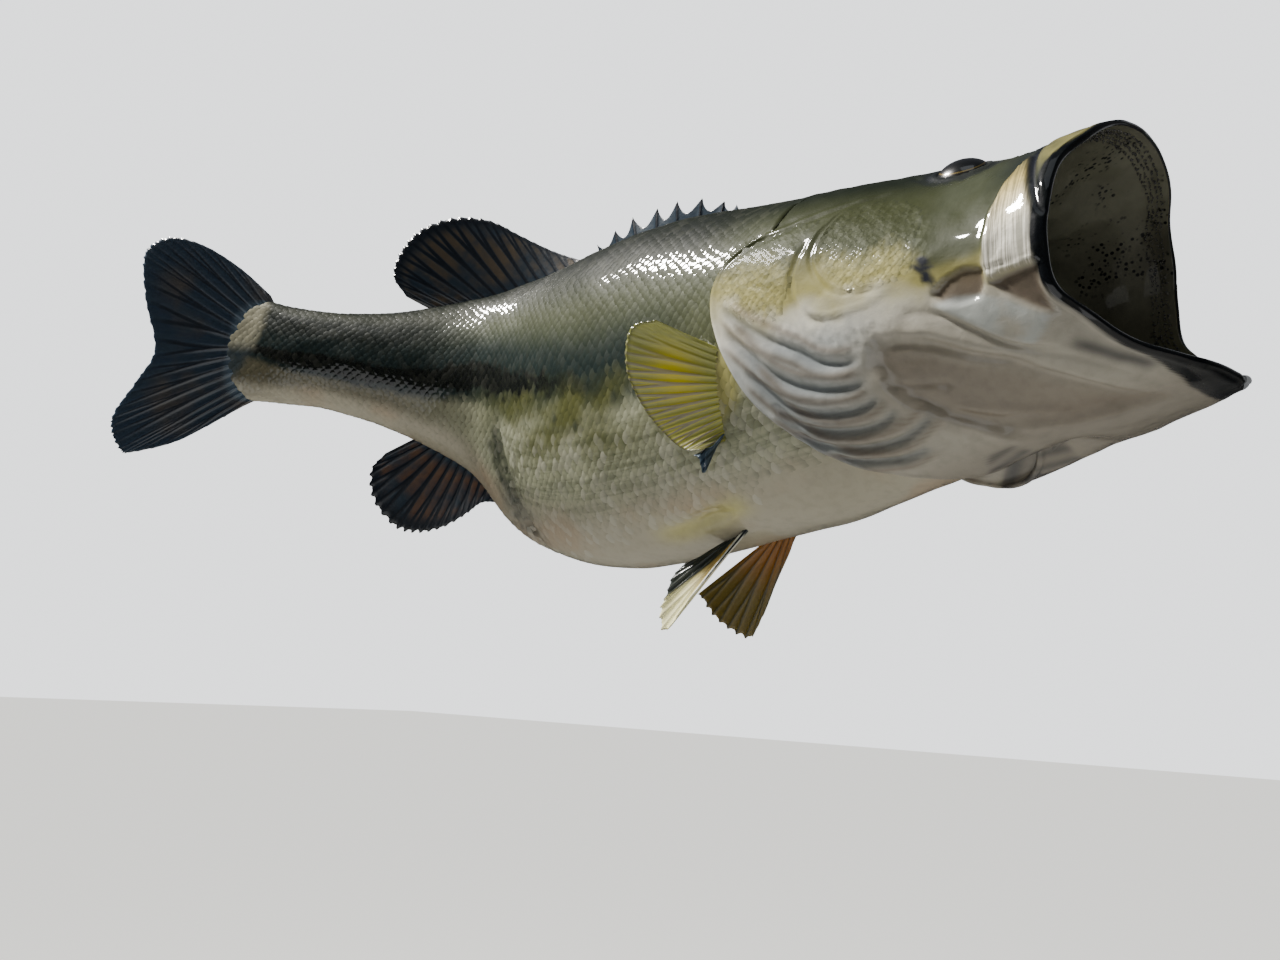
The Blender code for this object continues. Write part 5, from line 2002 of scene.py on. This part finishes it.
@dataclass
class Fin:
    """One fin: a thin closed blade with raised rays, a ragged edge and a slight wave."""

    name: str
    slot: str
    root: Curve
    tip: Curve
    rays: Rays
    finish: Material
    node: str = ""                  # the node it stands for, when that is not its name
    detail: int = 10
    rows: int = 44
    step: float = 0.01
    sunk: float = -0.02
    swell: float = 0.0
    square: int = 40                # how squarely the blade's two sides end
    cap_rows: float = 1.5
    valley: float = 0.35            # share of its thickness that the skin between rays loses
    fade: float = 0.6               # share of their height that the rays lose by their tips
    waves: float = 9.0

    def length(self, u: Array) -> Array:
        """How far the blade reaches at a place across it: 1 at a ray's tip, less between rays.

        Args:
            u: shares 0 to 1 across the fin.

        Returns:
            The reach at each place.
        """
        ridge, _ = self.rays.parts(u, np.ones_like(u))
        if self.rays.spiny:
            gap = (u * self.rays.count) % 1.0
            return 1.0 - self.rays.notch * np.sin(math.pi * gap ** 1.25) ** 0.8
        teeth = (u * self.rays.count * 3.0) % 1.0
        ragged = 0.6 * np.abs(2.0 * teeth - 1.0) + 0.4 * np.sin(u * 291.0 + 1.0) ** 2
        ends = smooth(0.0, 0.04, u) * smooth(1.0, 0.96, u)
        return 1.0 - ends * (self.rays.notch * (1.0 - ridge) + self.rays.fray * ragged)

    def middle(self, u: Array, v: Array) -> Array:
        """A point of the blade's middle surface, in the world.

        Args:
            u: shares 0 to 1 across the fin.
            v: shares 0 to 1 along it.

        Returns:
            Points in the world.
        """
        root = self.root(u)
        tip = self.tip(u)
        return placed(root + v[..., None] * (tip - root))

    def facing(self, u: Array, v: Array) -> Array:
        """The blade's direction of thickness at a place.

        Args:
            u: shares 0 to 1 across the fin.
            v: shares 0 to 1 along it.

        Returns:
            Directions in the world.
        """
        across = self.middle(np.minimum(u + self.step, 1.0), v) - self.middle(
            np.maximum(u - self.step, 0.0), v)
        outward = self.middle(u, v + self.step) - self.middle(u, v - self.step)
        flat = np.cross(across, outward)
        return flat / np.maximum(np.linalg.norm(flat, axis=-1, keepdims=True), 1e-12)

    def build(self) -> Piece:
        """Model the fin.

        Returns:
            The finished piece.
        """
        columns = self.rays.count * self.detail
        piece, column, row = grid(self.name, 2 * columns, self.rows)
        around = np.where(column > columns, 2 * columns - column, column)
        face = np.where(column > columns, -1.0, 1.0)
        u = around / columns
        share = row / self.rows
        reach = self.length(u)
        v = self.sunk + (reach - self.sunk) * share
        ridge, _ = self.rays.parts(u, share)
        ends = np.sqrt(np.clip(1.0 - np.abs(2.0 * u - 1.0) ** self.square, 0.0, 1.0))
        cap = np.minimum(1.0, (1.0 - share) * self.rows / self.cap_rows) * np.minimum(1.0, row)
        half = 0.5 * (self.rays.root_thick + (self.rays.edge_thick - self.rays.root_thick) * share)
        half = half * (1.0 - self.valley * (1.0 - ridge))
        half = half + 0.5 * self.rays.ridge * ridge * (1.0 - self.fade * share)
        wave = self.rays.wave * share * np.sin(u * self.waves + 1.5 * share)
        wave = wave + self.swell * np.sin(math.pi * u) * share
        offset = (face * half * ends * cap + wave) * 0.001
        write_points(piece, self.middle(u, v) + offset[:, None] * self.facing(u, v))
        write_mark(piece.data, Mark.RAY, ridge)
        write_mark(piece.data, Mark.SPAN, share)
        write_mark(piece.data, Mark.TONE, u)
        close_up(piece, 4e-6)
        piece.data.uv_layers[0].name = "OFBake"
        dress(piece, self.finish, self.slot, self.node or self.name)
        return piece


@dataclass
class FinSet:
    """All the fins, on the roots and tips that the solids have."""

    spiny_root: tuple[float, float] = (-0.04, -0.212)
    spiny_tips: Points = (
        (-0.047, 0.1265), (-0.06, 0.133), (-0.084, 0.143), (-0.113, 0.149), (-0.138, 0.15),
        (-0.17, 0.151), (-0.193, 0.144), (-0.218, 0.136))
    soft_root: tuple[float, float] = (-0.234, -0.412)
    soft_tips: Points = (
        (-0.238, 0.124), (-0.278, 0.139), (-0.326, 0.159), (-0.367, 0.174), (-0.409, 0.174),
        (-0.444, 0.157), (-0.461, 0.13), (-0.463, 0.102), (-0.444, 0.082))
    anal_root: tuple[float, float] = (-0.322, -0.408)
    anal_tips: Points = (
        (-0.324, -0.115), (-0.338, -0.118), (-0.351, -0.131), (-0.372, -0.148), (-0.394, -0.156),
        (-0.416, -0.153), (-0.44, -0.13), (-0.448, -0.1), (-0.436, -0.08))
    tail_angles: tuple[float, float] = (8.0, 172.0)
    tail_tips: Points = (
        (-0.583, 0.062), (-0.62, 0.086), (-0.663, 0.105), (-0.7, 0.11), (-0.722, 0.098), (-0.726, 0.079),
        (-0.715, 0.039), (-0.695, -0.01), (-0.708, -0.045), (-0.726, -0.081), (-0.725, -0.101),
        (-0.711, -0.119), (-0.698, -0.12), (-0.648, -0.1), (-0.601, -0.064))
    pectoral_root: Points = ((0.012, -0.027), (0.005, -0.093))
    pectoral_tips: Points = (
        (-0.023, 0.125, -0.005), (-0.05, 0.129, -0.007), (-0.057, 0.127, -0.036), (-0.049, 0.118, -0.064),
        (-0.034, 0.111, -0.084), (-0.018, 0.105, -0.0975), (-0.003, 0.101, -0.101))
    flap_root: Points = ((0.006, -0.087), (-0.0075, -0.094))
    flap_tips: Points = (
        (0.005, 0.103, -0.105), (0.001, 0.103, -0.1175), (-0.0035, 0.103, -0.109), (-0.008, 0.103, -0.103))
    folded: float = 0.45
    pelvic_root: Points = ((-0.018, 0.032), (-0.042, 0.02))
    pelvic_tips: Points = (
        (-0.044, 0.052, -0.19), (-0.066, 0.06, -0.214), (-0.086, 0.062, -0.232), (-0.091, 0.06, -0.216),
        (-0.087, 0.056, -0.203), (-0.083, 0.052, -0.188), (-0.074, 0.046, -0.178))
    far_pelvic_tips: Points = (
        (-0.054, -0.036, -0.196), (-0.061, -0.036, -0.222), (-0.073, -0.034, -0.241),
        (-0.092, -0.032, -0.234), (-0.11, -0.03, -0.22), (-0.124, -0.028, -0.202))
    bury: float = 0.004

    def along(self, span: tuple[float, float], level: int) -> Curve:
        """A root along the back (level 1) or the belly (level 2).

        Args:
            span: where the root starts and ends along the spine.
            level: 1 for the back, 2 for the belly.

        Returns:
            The root's curve.
        """
        sink = -self.bury if level == 1 else self.bury

        def root(u: Array) -> Array:
            """A point of the root."""
            x = span[0] + u * (span[1] - span[0])
            return point_of(x, 0.0, FORM.columns(FORM.trunk, x, level)[0] + sink)
        return root

    def flat(self, points: Points) -> Curve:
        """An outer edge in the middle plane.

        Args:
            points: the edge's places, as (x, z).

        Returns:
            The edge's curve.
        """
        def tip(u: Array) -> Array:
            """A point of the edge."""
            here = path(points, u)
            return point_of(here[..., 0], 0.0, here[..., 1])
        return tip

    def straight(self, u: Array) -> Array:
        """The line from spine tip to spine tip.

        Args:
            u: shares 0 to 1 across the fin.

        Returns:
            Points in the fish's own axes.
        """
        knots = np.linspace(0.0, 1.0, len(self.spiny_tips))
        x, z = [np.interp(u, knots, column) for column in np.transpose(self.spiny_tips)]
        return point_of(x, 0.0, z)

    def tail_root(self, u: Array) -> Array:
        """The root of the tail fin, under the rounded end of the scales.

        Args:
            u: shares 0 to 1 across the fin.

        Returns:
            Points in the fish's own axes.
        """
        angle = self.tail_angles[0] + u * (self.tail_angles[1] - self.tail_angles[0])
        end = FORM.section(FORM.trunk, FORM.tail_end(angle) + 0.006, angle)
        return point_of(end[..., 0], 0.0, end[..., 2] * 0.97)

    def pectoral(self, side: float, stand: float, roots: Points, tips: Points) -> tuple[Curve, Curve]:
        """Root and edge of a pectoral fin that stands off its side.

        Args:
            side: the sign of y on its side of the fish.
            stand: share of the tips' distance from the flank that it keeps.
            roots: the root's places, as (x, z).
            tips: the edge's places, as (x, y, z).

        Returns:
            The root's curve and the edge's curve.
        """
        def root(u: Array) -> Array:
            """A point of the root, just inside the skin.

            Args:
                u: shares 0 to 1 across the fin.

            Returns:
                Points in the fish's own axes.
            """
            here = path(roots, u)
            y = FORM.flank(here[..., 0], here[..., 1]) - 0.002
            return point_of(here[..., 0], side * y, here[..., 1])

        def tip(u: Array) -> Array:
            """A point of the edge.

            Args:
                u: shares 0 to 1 across the fin.

            Returns:
                Points in the fish's own axes.
            """
            here = path(tips, u)
            y = FORM.flank(here[..., 0], here[..., 2]) + 0.003
            return point_of(here[..., 0], side * (y + stand * (here[..., 1] - y)), here[..., 2])
        return root, tip

    def pelvic(self, side: float, points: Points) -> tuple[Curve, Curve]:
        """Root and edge of a pelvic fin.

        Args:
            side: the sign of y on its side of the fish.
            points: the edge's places in the fish's own axes.

        Returns:
            The root's curve and the edge's curve.
        """
        def root(u: Array) -> Array:
            """A point of the root, just inside the skin.

            Args:
                u: shares 0 to 1 across the fin.

            Returns:
                Points in the fish's own axes.
            """
            here = path(self.pelvic_root, u)
            z = FORM.underside(here[..., 0], here[..., 1]) + 0.004
            return point_of(here[..., 0], side * here[..., 1], z)
        return root, lambda u: path(points, u)

    def build(self) -> None:
        """Model every fin."""
        Fin("dorsal_fin_spiny", "dark_fin", self.along(self.spiny_root, 1), self.straight,
            Rays(7, ridge=1.4, width=0.075, notch=0.46, wave=0.5, root_thick=1.2, spiny=True),
            TONES.dark("spiny_dorsal", TONES.slate, 0.6, 0.9), detail=26).build()
        Fin("dorsal_fin_soft", "dark_fin", self.along(self.soft_root, 1), self.flat(self.soft_tips),
            Rays(14, ridge=0.5, notch=0.022, fray=0.016, wave=0.9),
            TONES.dark("soft_dorsal", TONES.tan, 0.55, 0.82)).build()
        Fin("anal_fin", "dark_fin", self.along(self.anal_root, 2), self.flat(self.anal_tips),
            Rays(12, ridge=0.6, notch=0.045, fray=0.02),
            TONES.dark("anal_fin", TONES.rust, 0.6, 0.75)).build()
        Fin("tail_fin", "dark_fin", self.tail_root, self.flat(self.tail_tips),
            Rays(17, ridge=0.22, notch=0.006, fray=0.02, root_thick=3.4, fork_from=0.15),
            TONES.tail(), detail=12, rows=60).build()
        for (name, side), stand in zip(SIDES, (1.0, self.folded)):
            node = f"pectoral_fin_{name}"
            outline = self.pectoral(side, stand, self.pectoral_root, self.pectoral_tips)
            Fin(node, "yellow_fin", *outline, Rays(14, ridge=0.45, notch=0.012, fray=0.01, wave=0.5),
                TONES.pectoral(), swell=2.0 * side).build()
            outline = self.pectoral(side, stand, self.flap_root, self.flap_tips)
            Fin(f"pectoral_flap_{name}", "dark_fin", *outline, Rays(3, ridge=0.3, root_thick=1.4),
                TONES.flap(), node, rows=16).build()
        pelvic = (self.pelvic_tips, TONES.near_pelvic), (self.far_pelvic_tips, TONES.far_pelvic)
        for (name, side), (tips, tone) in zip(SIDES, pelvic):
            Fin(f"pelvic_fin_{name}", "yellow_fin", *self.pelvic(side, tips),
                Rays(6, ridge=0.7, notch=0.03, wave=0.7), tone(), detail=18).build()


@dataclass(frozen=True)
class FinTones:
    """The finishes of the fins."""

    ink: Colour = tint(6, 15, 26)
    slate: Colour = tint(32, 46, 58)
    navy: Colour = tint(26, 40, 56)
    steel: Colour = tint(70, 86, 100)
    tan: Colour = tint(96, 78, 50)
    rust: Colour = tint(112, 76, 44)
    olive: Colour = tint(140, 142, 70)
    lemon: Colour = tint(190, 176, 20)
    grey: Colour = tint(128, 118, 106)
    pale: Colour = tint(230, 226, 176)
    amber: Colour = tint(196, 160, 66)
    white: Colour = tint(222, 222, 210)
    # dark olive for dark rays and edges, and for the painted shade on the near pelvic fin
    dark_olive_and_shade: Colour = tint(40, 46, 40)
    orange: Colour = tint(122, 76, 10)
    moss: Colour = tint(92, 78, 26)

    def close(self, tree: Tree, colour: Socket, roughness: float = 0.38) -> Material:
        """Finish a fin's material with its lacquer and fine grain.

        Args:
            tree: the material's nodes.
            colour: the fin's colour.
            roughness: the fin's roughness.

        Returns:
            The material.
        """
        fine = tree.noise(tree.place(), 420.0, 3.0)
        tree.bump(fine, 0.0002, 0.8)
        return tree.finish(Base_Color=colour, Roughness=roughness, Coat_Weight=0.45,
                           Coat_Roughness=0.16, Coat_IOR=1.5, Specular_IOR_Level=0.2)

    def dark(self, name: str, streak: Colour, amount: float, tips: float) -> Material:
        """A dark fin with paler streaks on the skin between its rays.

        Args:
            name: the material's name.
            streak: the streaks' colour.
            amount: how strong they are.
            tips: share of the way out where the edge darkens.

        Returns:
            The material.
        """
        tree = Tree(name)
        ray, span, _ = tree.blade()
        patchy = tree.noise(tree.place(), 55.0).rise(0.32, 0.62)
        colour = ray.rise(0.2, 0.8).blend(self.slate, self.ink)
        between = ray.rise(0.55, 0.1) * patchy * span.rise(0.08, 0.25) * span.rise(0.98, tips)
        colour = (between * amount).blend(colour, streak)
        colour = span.rise(tips, 1.0).blend(colour, self.ink)
        return self.close(tree, colour)

    def tail(self) -> Material:
        """Navy, with thin dark rays, fine streaks and a paler blue strip along the root."""
        tree = Tree("tail_fin")
        ray, span, place = tree.blade()
        streaks = tree.noise(tree.join(place * 150.0, span * 3.0, 0.0), 1.0, 2.0).rise(0.35, 0.65)
        colour = streaks.blend(self.navy, self.slate)
        warm = tree.noise(tree.place(), 30.0).rise(0.45, 0.7) * span.rise(0.95, 0.6)
        colour = colour.under(
            (warm * 0.35, self.tan),
            (ray.rise(0.45, 0.9) * span.rise(1.0, 0.75) * 0.9, self.ink),
            (span.rise(0.16, 0.06), self.steel))
        return self.close(tree, colour)

    def pectoral(self) -> Material:
        """Olive, yellow along its upper half, with grey rays."""
        tree = Tree("pectoral_fin")
        ray, span, place = tree.blade()
        gold = place.hill(0.34, 0.3) * span.hill(0.48, 0.42)
        colour = gold.blend(self.olive, self.lemon)
        grey = ray.rise(0.25, 0.8) * place.rise(0.12, 0.35) * span.rise(0.1, 0.3)
        colour = (grey * 0.8).blend(colour, self.grey)
        thin = ray.hill(0.24, 0.2) * place.rise(0.2, 0.4)
        colour = colour.under(
            (thin * 0.7, self.lemon),
            (place.rise(0.8, 1.0) * 0.5, self.dark_olive_and_shade),
            (span.rise(0.93, 1.0) * 0.6, self.dark_olive_and_shade))
        return self.close(tree, colour)

    def flap(self) -> Material:
        """Blue-grey skin, as on the flap below the pectoral fin."""
        tree = Tree("pectoral_flap")
        streaks = tree.mark(Mark.RAY).rise(0.2, 0.8)
        return self.close(tree, streaks.blend(self.steel, self.slate))

    def near_pelvic(self) -> Material:
        """Pale yellow with an amber root, a white leading edge and a dark margin, with painted shade on
        the folded inner part and at the root.
        """
        tree = Tree("near_pelvic_fin")
        ray, span, place = tree.blade()
        colour = span.rise(0.25, 0.75).blend(self.amber, self.pale)
        colour = place.rise(0.17, 0.06).blend(colour, self.white)
        colour = (ray.rise(0.5, 1.0) * place.rise(0.2, 0.4) * 0.4).blend(colour, self.grey)
        # painted shade: the fin's folded inner part, and a band at its root
        inner = (place - span * 0.22).rise(0.36, 0.44)
        colour = colour.under(
            (inner, self.dark_olive_and_shade),
            (span.rise(0.2, 0.1), self.dark_olive_and_shade),
            (place.rise(0.035, 0.015), self.ink))
        return self.close(tree, colour)

    def far_pelvic(self) -> Material:
        """Orange-brown at the root, mossy yellow outward."""
        tree = Tree("far_pelvic_fin")
        ray, span, _ = tree.blade()
        colour = span.rise(0.15, 0.7).blend(self.orange, self.moss)
        colour = (ray.rise(0.4, 0.9) * 0.6).blend(colour, self.dark_olive_and_shade)
        return self.close(tree, colour)


TONES = FinTones()


# ---- eyes, teeth and hanger
@dataclass
class Eyes:
    """Two glass eyes, seated as the solids have them."""

    radius: float = 0.01
    depth: float = 0.0068
    sunk: float = 0.0032
    segments: int = 64
    rings: int = 40
    pupil: float = 0.8
    ring: float = 0.022

    def seat(self, side: float) -> Matrix:
        """Where an eye sits, with its z axis out of the head.

        Args:
            side: the sign of y on its side of the fish.

        Returns:
            The eye's place and turn in the world.
        """
        spot_x, spot_angle = RELIEF.eye_spot
        x = np.array((spot_x, spot_x + 0.002, spot_x))
        angle = np.array((spot_angle, spot_angle, spot_angle + 2.0))
        here, ahead, beside = [Vector(point) for point in placed(FORM.head_point(x, side * angle))]
        outward = (ahead - here).cross(beside - here).normalized()
        spine = Vector(placed(np.array((spot_x, 0.0, 0.0))))
        if outward.dot(here - spine) < 0.0:
            outward = -outward
        turn = outward.to_track_quat("Z", "Y").to_matrix().to_4x4()
        return Matrix.Translation(here - outward * self.sunk) @ turn

    def finish(self) -> Material:
        """Black pupil, a thin gold ring and a dark brown iris under clear glass."""
        tree = Tree("glass_eye")
        across = tree.mark(Mark.SPAN)
        fibres = tree.noise(tree.place(), 700.0)
        colour = fibres.blend(tint(10, 9, 8), tint(24, 20, 12))
        edge = (across - self.pupil).math("ABSOLUTE")
        colour = colour.under(
            (edge.rise(self.ring * 1.8, self.ring * 0.6), tint(112, 96, 50)),
            (across.rise(self.pupil + 0.005, self.pupil - 0.02), tint(3, 3, 5)),
            (across.rise(0.86, 0.92), tint(4, 5, 7)))
        metal = edge.rise(self.ring * 2.5, 0.0) * 0.3
        return tree.finish(Base_Color=colour, Roughness=0.28, Metallic=metal, Coat_Weight=1.0,
                           Coat_Roughness=0.02, Coat_IOR=1.5)

    def build(self) -> None:
        """Model both eyes."""
        finish = self.finish()
        for name, side in SIDES:
            bpy.ops.object.select_all(action="DESELECT")
            bpy.ops.mesh.primitive_uv_sphere_add(segments=self.segments, ring_count=self.rings,
                                                 radius=1.0)
            eye = bpy.context.object
            eye.name = eye.data.name = f"glass_eye_{name}"
            ball = read_points(eye)
            across = np.hypot(ball[:, 0], ball[:, 1])
            across = np.where(ball[:, 2] < 0.0, 1.0, across)
            size = Matrix.Diagonal((self.radius, self.radius, self.depth, 1.0))
            eye.data.transform(self.seat(side) @ size)
            write_mark(eye.data, Mark.SPAN, across)
            bpy.ops.object.shade_smooth()
            dress(eye, finish, "glass_eye", f"eye_{name}")


@dataclass
class Teeth:
    """The band of fine blunt teeth inside the rim of the mouth."""

    rows: int = 4
    around: int = 190
    first_back: float = 0.0035
    row_gap: float = 0.003
    height: float = 0.0009
    radius: float = 0.00042
    upper: float = 118.0
    spread: float = 0.5
    stray: float = 0.0015
    hook: float = 0.0004
    sizes: tuple[float, float] = (0.7, 1.25)
    # height and width of each ring of a tooth, as shares of its own
    profile: Points = ((-0.3, 1.0), (0.55, 0.75))
    sides: int = 6

    def build(self) -> Piece:
        """Model every tooth as one joined mesh of low domes.

        Returns:
            The finished piece.
        """
        chance = np.random.default_rng(SEED)
        angle = np.linspace(-self.upper, self.upper, self.around)[None, :] + chance.normal(
            0.0, self.spread, (self.rows, self.around))
        back = (self.first_back + self.row_gap * np.arange(self.rows))[:, None]
        x = FORM.rim(angle) - back - chance.uniform(0.0, self.stray, angle.shape)
        base = placed(lining_surface(x, angle)).reshape(-1, 3)
        aside = placed(lining_surface(x, angle + 1.0)).reshape(-1, 3) - base
        ahead = placed(lining_surface(x + 0.001, angle)).reshape(-1, 3) - base
        aside /= np.linalg.norm(aside, axis=1, keepdims=True)
        inward = np.cross(aside, ahead)
        inward /= np.linalg.norm(inward, axis=1, keepdims=True)
        ahead = np.cross(inward, aside)
        centre = placed(point_of(x, 0.0, GULLET_Z)).reshape(-1, 3)
        flip = np.where(np.sum(inward * (centre - base), axis=1) < 0.0, -1.0, 1.0)
        inward *= flip[:, None]
        turn = np.linspace(0.0, 2.0 * math.pi, self.sides, endpoint=False)
        count = len(base)
        size = chance.uniform(*self.sizes, count)[:, None]
        points = []
        for level, wide in self.profile:
            for spin in turn:
                points.append(base + size * (self.radius * wide * (math.cos(spin) * aside
                                             + math.sin(spin) * ahead) + self.height * level * inward))
        points.append(base + size * (self.height * inward - self.hook * ahead))
        corners = np.stack(points, axis=1).reshape(-1, 3)
        each = 2 * self.sides + 1
        ring = [(step, (step + 1) % self.sides) for step in range(self.sides)]
        one = [[a, b, b + self.sides, a + self.sides] for a, b in ring]
        one += [[a + self.sides, b + self.sides, each - 1] for a, b in ring]
        one.append(list(range(self.sides))[::-1])
        faces = [[corner + tooth * each for corner in face] for tooth in range(count) for face in one]
        data = bpy.data.meshes.new("teeth")
        data.from_pydata(corners.tolist(), [], faces)
        piece = bpy.data.objects.new("teeth", data)
        bpy.context.scene.collection.objects.link(piece)
        close_up(piece, 1e-9)
        tree = Tree("teeth")
        mottle = tree.noise(tree.place(), 300.0).rise(0.35, 0.65)
        dress(piece, tree.finish(Base_Color=mottle.blend(tint(12, 14, 14), tint(66, 66, 58)),
                                 Roughness=0.35, Coat_Weight=1.0, Coat_Roughness=0.1), "lip_skin")
        return piece


def hanger_finish() -> None:
    """Give the wooden hanger its grain."""
    tree = Tree("hanger_wood")
    along = tree.stretch(tree.place(), (60.0, 9.0, 420.0))
    grain = tree.noise(along, 1.0, 5.0)
    colour = grain.rise(0.35, 0.65).blend(tint(168, 134, 92), tint(120, 88, 54))
    tree.bump(grain, 0.0004)
    finish = tree.finish(Base_Color=colour, Roughness=0.62)
    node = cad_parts["wall_hanger"]
    for slot in node.material_slots:
        slot.material = finish


# ---- studio
@dataclass
class Studio:
    """A plain pale floor, soft light and the camera."""

    camera_at: Triple = (0.237, -0.4565, -0.167)
    yaw: float = -32.67
    pitch: float = 12.96
    roll: float = 3.55
    lens: float = 27.03
    floor_z: float = -1.45
    floor_size: float = 80.0
    floor_colour: Colour = tint(220, 219, 214)
    floor_glow: float = 1.7
    # direction it comes from, distance, width, height, power and colour of each light
    lights: tuple[tuple, ...] = (
        ("key", (-0.569, -0.353, 0.742), 2.2, 0.55, 0.16, 176.0, (1.0, 0.97, 0.92)),
        ("fill", (0.05, -0.85, -0.52), 2.6, 2.0, 2.0, 18.0, (0.98, 0.99, 1.0)),
        ("sky", (0.25, -0.55, 0.8), 3.0, 1.6, 1.6, 6.0, (0.88, 0.94, 1.0)),
        ("rear", (0.45, 0.8, 0.4), 2.6, 1.8, 1.8, 6.0, (0.94, 0.97, 1.0)))
    sky_top: Colour = tint(206, 214, 224)
    sky_low: Colour = tint(196, 190, 180)
    sky_span: tuple[float, float] = (-0.3, 0.8)
    sky_strength: float = 0.11
    backdrop: Colour = tint(222, 224, 226)
    backdrop_strength: float = 2.6

    def build(self) -> None:
        """Set the camera, the lights, the floor and the surroundings."""
        self.camera()
        self.floor()
        for light in self.lights:
            self.light(*light)
        self.sky()

    def camera(self) -> None:
        """Look at the fish from low in front of its head."""
        yaw, pitch, roll = (math.radians(turn) for turn in (self.yaw, self.pitch, self.roll))
        forward = Vector((math.sin(yaw) * math.cos(pitch), math.cos(yaw) * math.cos(pitch),
                          math.sin(pitch)))
        level = Vector((math.cos(yaw), -math.sin(yaw), 0.0))
        upright = level.cross(forward)
        right = math.cos(roll) * level + math.sin(roll) * upright
        up = math.cos(roll) * upright - math.sin(roll) * level
        bpy.ops.object.camera_add(location=self.camera_at)
        camera = bpy.context.object
        camera.name = "camera"
        turn = Matrix((right, up, -forward)).transposed().to_4x4()
        camera.matrix_world = Matrix.Translation(Vector(self.camera_at)) @ turn
        camera.data.lens = self.lens
        camera.data.clip_start = 0.01
        bpy.context.scene.camera = camera

    def floor(self) -> None:
        """Lay the floor."""
        bpy.ops.object.select_all(action="DESELECT")
        bpy.ops.mesh.primitive_plane_add(size=self.floor_size, location=(0.0, 0.0, self.floor_z))
        floor = bpy.context.object
        floor.name = floor.data.name = "floor"
        tree = Tree("floor")
        seen = tree.out("ShaderNodeLightPath", {}, "Is Camera Ray")
        floor.data.materials.append(tree.finish(
            Base_Color=self.floor_colour, Roughness=0.7, Emission_Strength=self.floor_glow,
            Emission_Color=seen.blend((0.0, 0.0, 0.0), self.floor_colour)))
        floor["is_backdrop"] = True

    def light(self, name: str, come_from: Triple, away: float, width: float, height: float,
              power: float, colour: Colour) -> None:
        """Hang one soft light.

        Args:
            name: its name.
            come_from: the direction that its light comes from.
            away: its distance from the fish.
            width: its width.
            height: its height.
            power: its power, watts.
            colour: its colour.
        """
        toward = Vector(come_from).normalized()
        bpy.ops.object.light_add(type="AREA", location=toward * away)
        lamp = bpy.context.object
        lamp.name = name
        lamp.data.shape = "RECTANGLE"
        lamp.data.size = width
        lamp.data.size_y = height
        lamp.data.energy = power
        lamp.data.color = colour
        lamp.rotation_euler = toward.to_track_quat("Z", "Y").to_euler()

    def sky(self) -> None:
        """Fill the surroundings with soft light, brighter above."""
        tree = Tree("studio", world=True)
        bpy.context.scene.world = tree.owner
        height = tree.out("ShaderNodeTexCoord", {}, "Generated").parts()[2]
        rise = tree.out("ShaderNodeMapRange", {0: height, 1: self.sky_span[0], 2: self.sky_span[1]})
        soft = tree.nodes["Background"]
        tree.put(soft.inputs[0], rise.blend(self.sky_low, self.sky_top))
        tree.put(soft.inputs[1], self.sky_strength)
        plain = tree.out("ShaderNodeBackground", {0: self.backdrop, 1: self.backdrop_strength})
        seen = tree.out("ShaderNodeLightPath", {}, "Is Camera Ray")
        both = {0: seen, 1: Socket(tree, soft.outputs[0]), 2: plain}
        tree.put(tree.nodes["World Output"].inputs[0], tree.out("ShaderNodeMixShader", both))


def write_sizes() -> None:
    """Build the solids' box and the finished model's box as lists of numbers; neither is kept."""
    def plain(box: Sequence[Vector]) -> list[list[float]]:
        """A box as lists of numbers."""
        return [[float(value) for value in corner] for corner in box]
    {"cad": plain(CAD_BOX), "visual": plain(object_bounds())}


@dataclass
class Bass:
    """The whole fish."""

    def build(self) -> None:
        """Model the skin, its scales, the fins, the eyes and the teeth."""
        skin = Skin(TONE.material("painted_skin", loose=False))
        skin.build()
        scale_finish = TONE.material("painted_scales", loose=True)
        trunk = Lattice(TRUNK_SPACING, TRUNK_PITCH, LATERAL_LINE, trunk_surface)
        cheeks = Lattice(HEAD_SPACING, HEAD_PITCH, HEAD_MIDDLE, head_surface, span=(0.0, 0.2))
        fine = ScaleForm(buried=-0.18, raised=0.24, dome=0.1)
        for name, side in SIDES:
            Coat(f"scales_{name}", side, trunk, ScaleForm(), scale_finish, trunk_relief,
                 skin.unwrap_trunk).build()
            Coat(f"cheek_scales_{name}", side, cheeks, fine, scale_finish, head_relief,
                 skin.unwrap_head, head=1.0).build()
        FinSet().build()
        Eyes().build()
        Teeth().build()
        hanger_finish()


def main() -> None:
    """Build the model in order."""
    logging.basicConfig(level=logging.INFO)
    Bass().build()
    Studio().build()
    write_sizes()


if __name__ == "__main__":
    main()
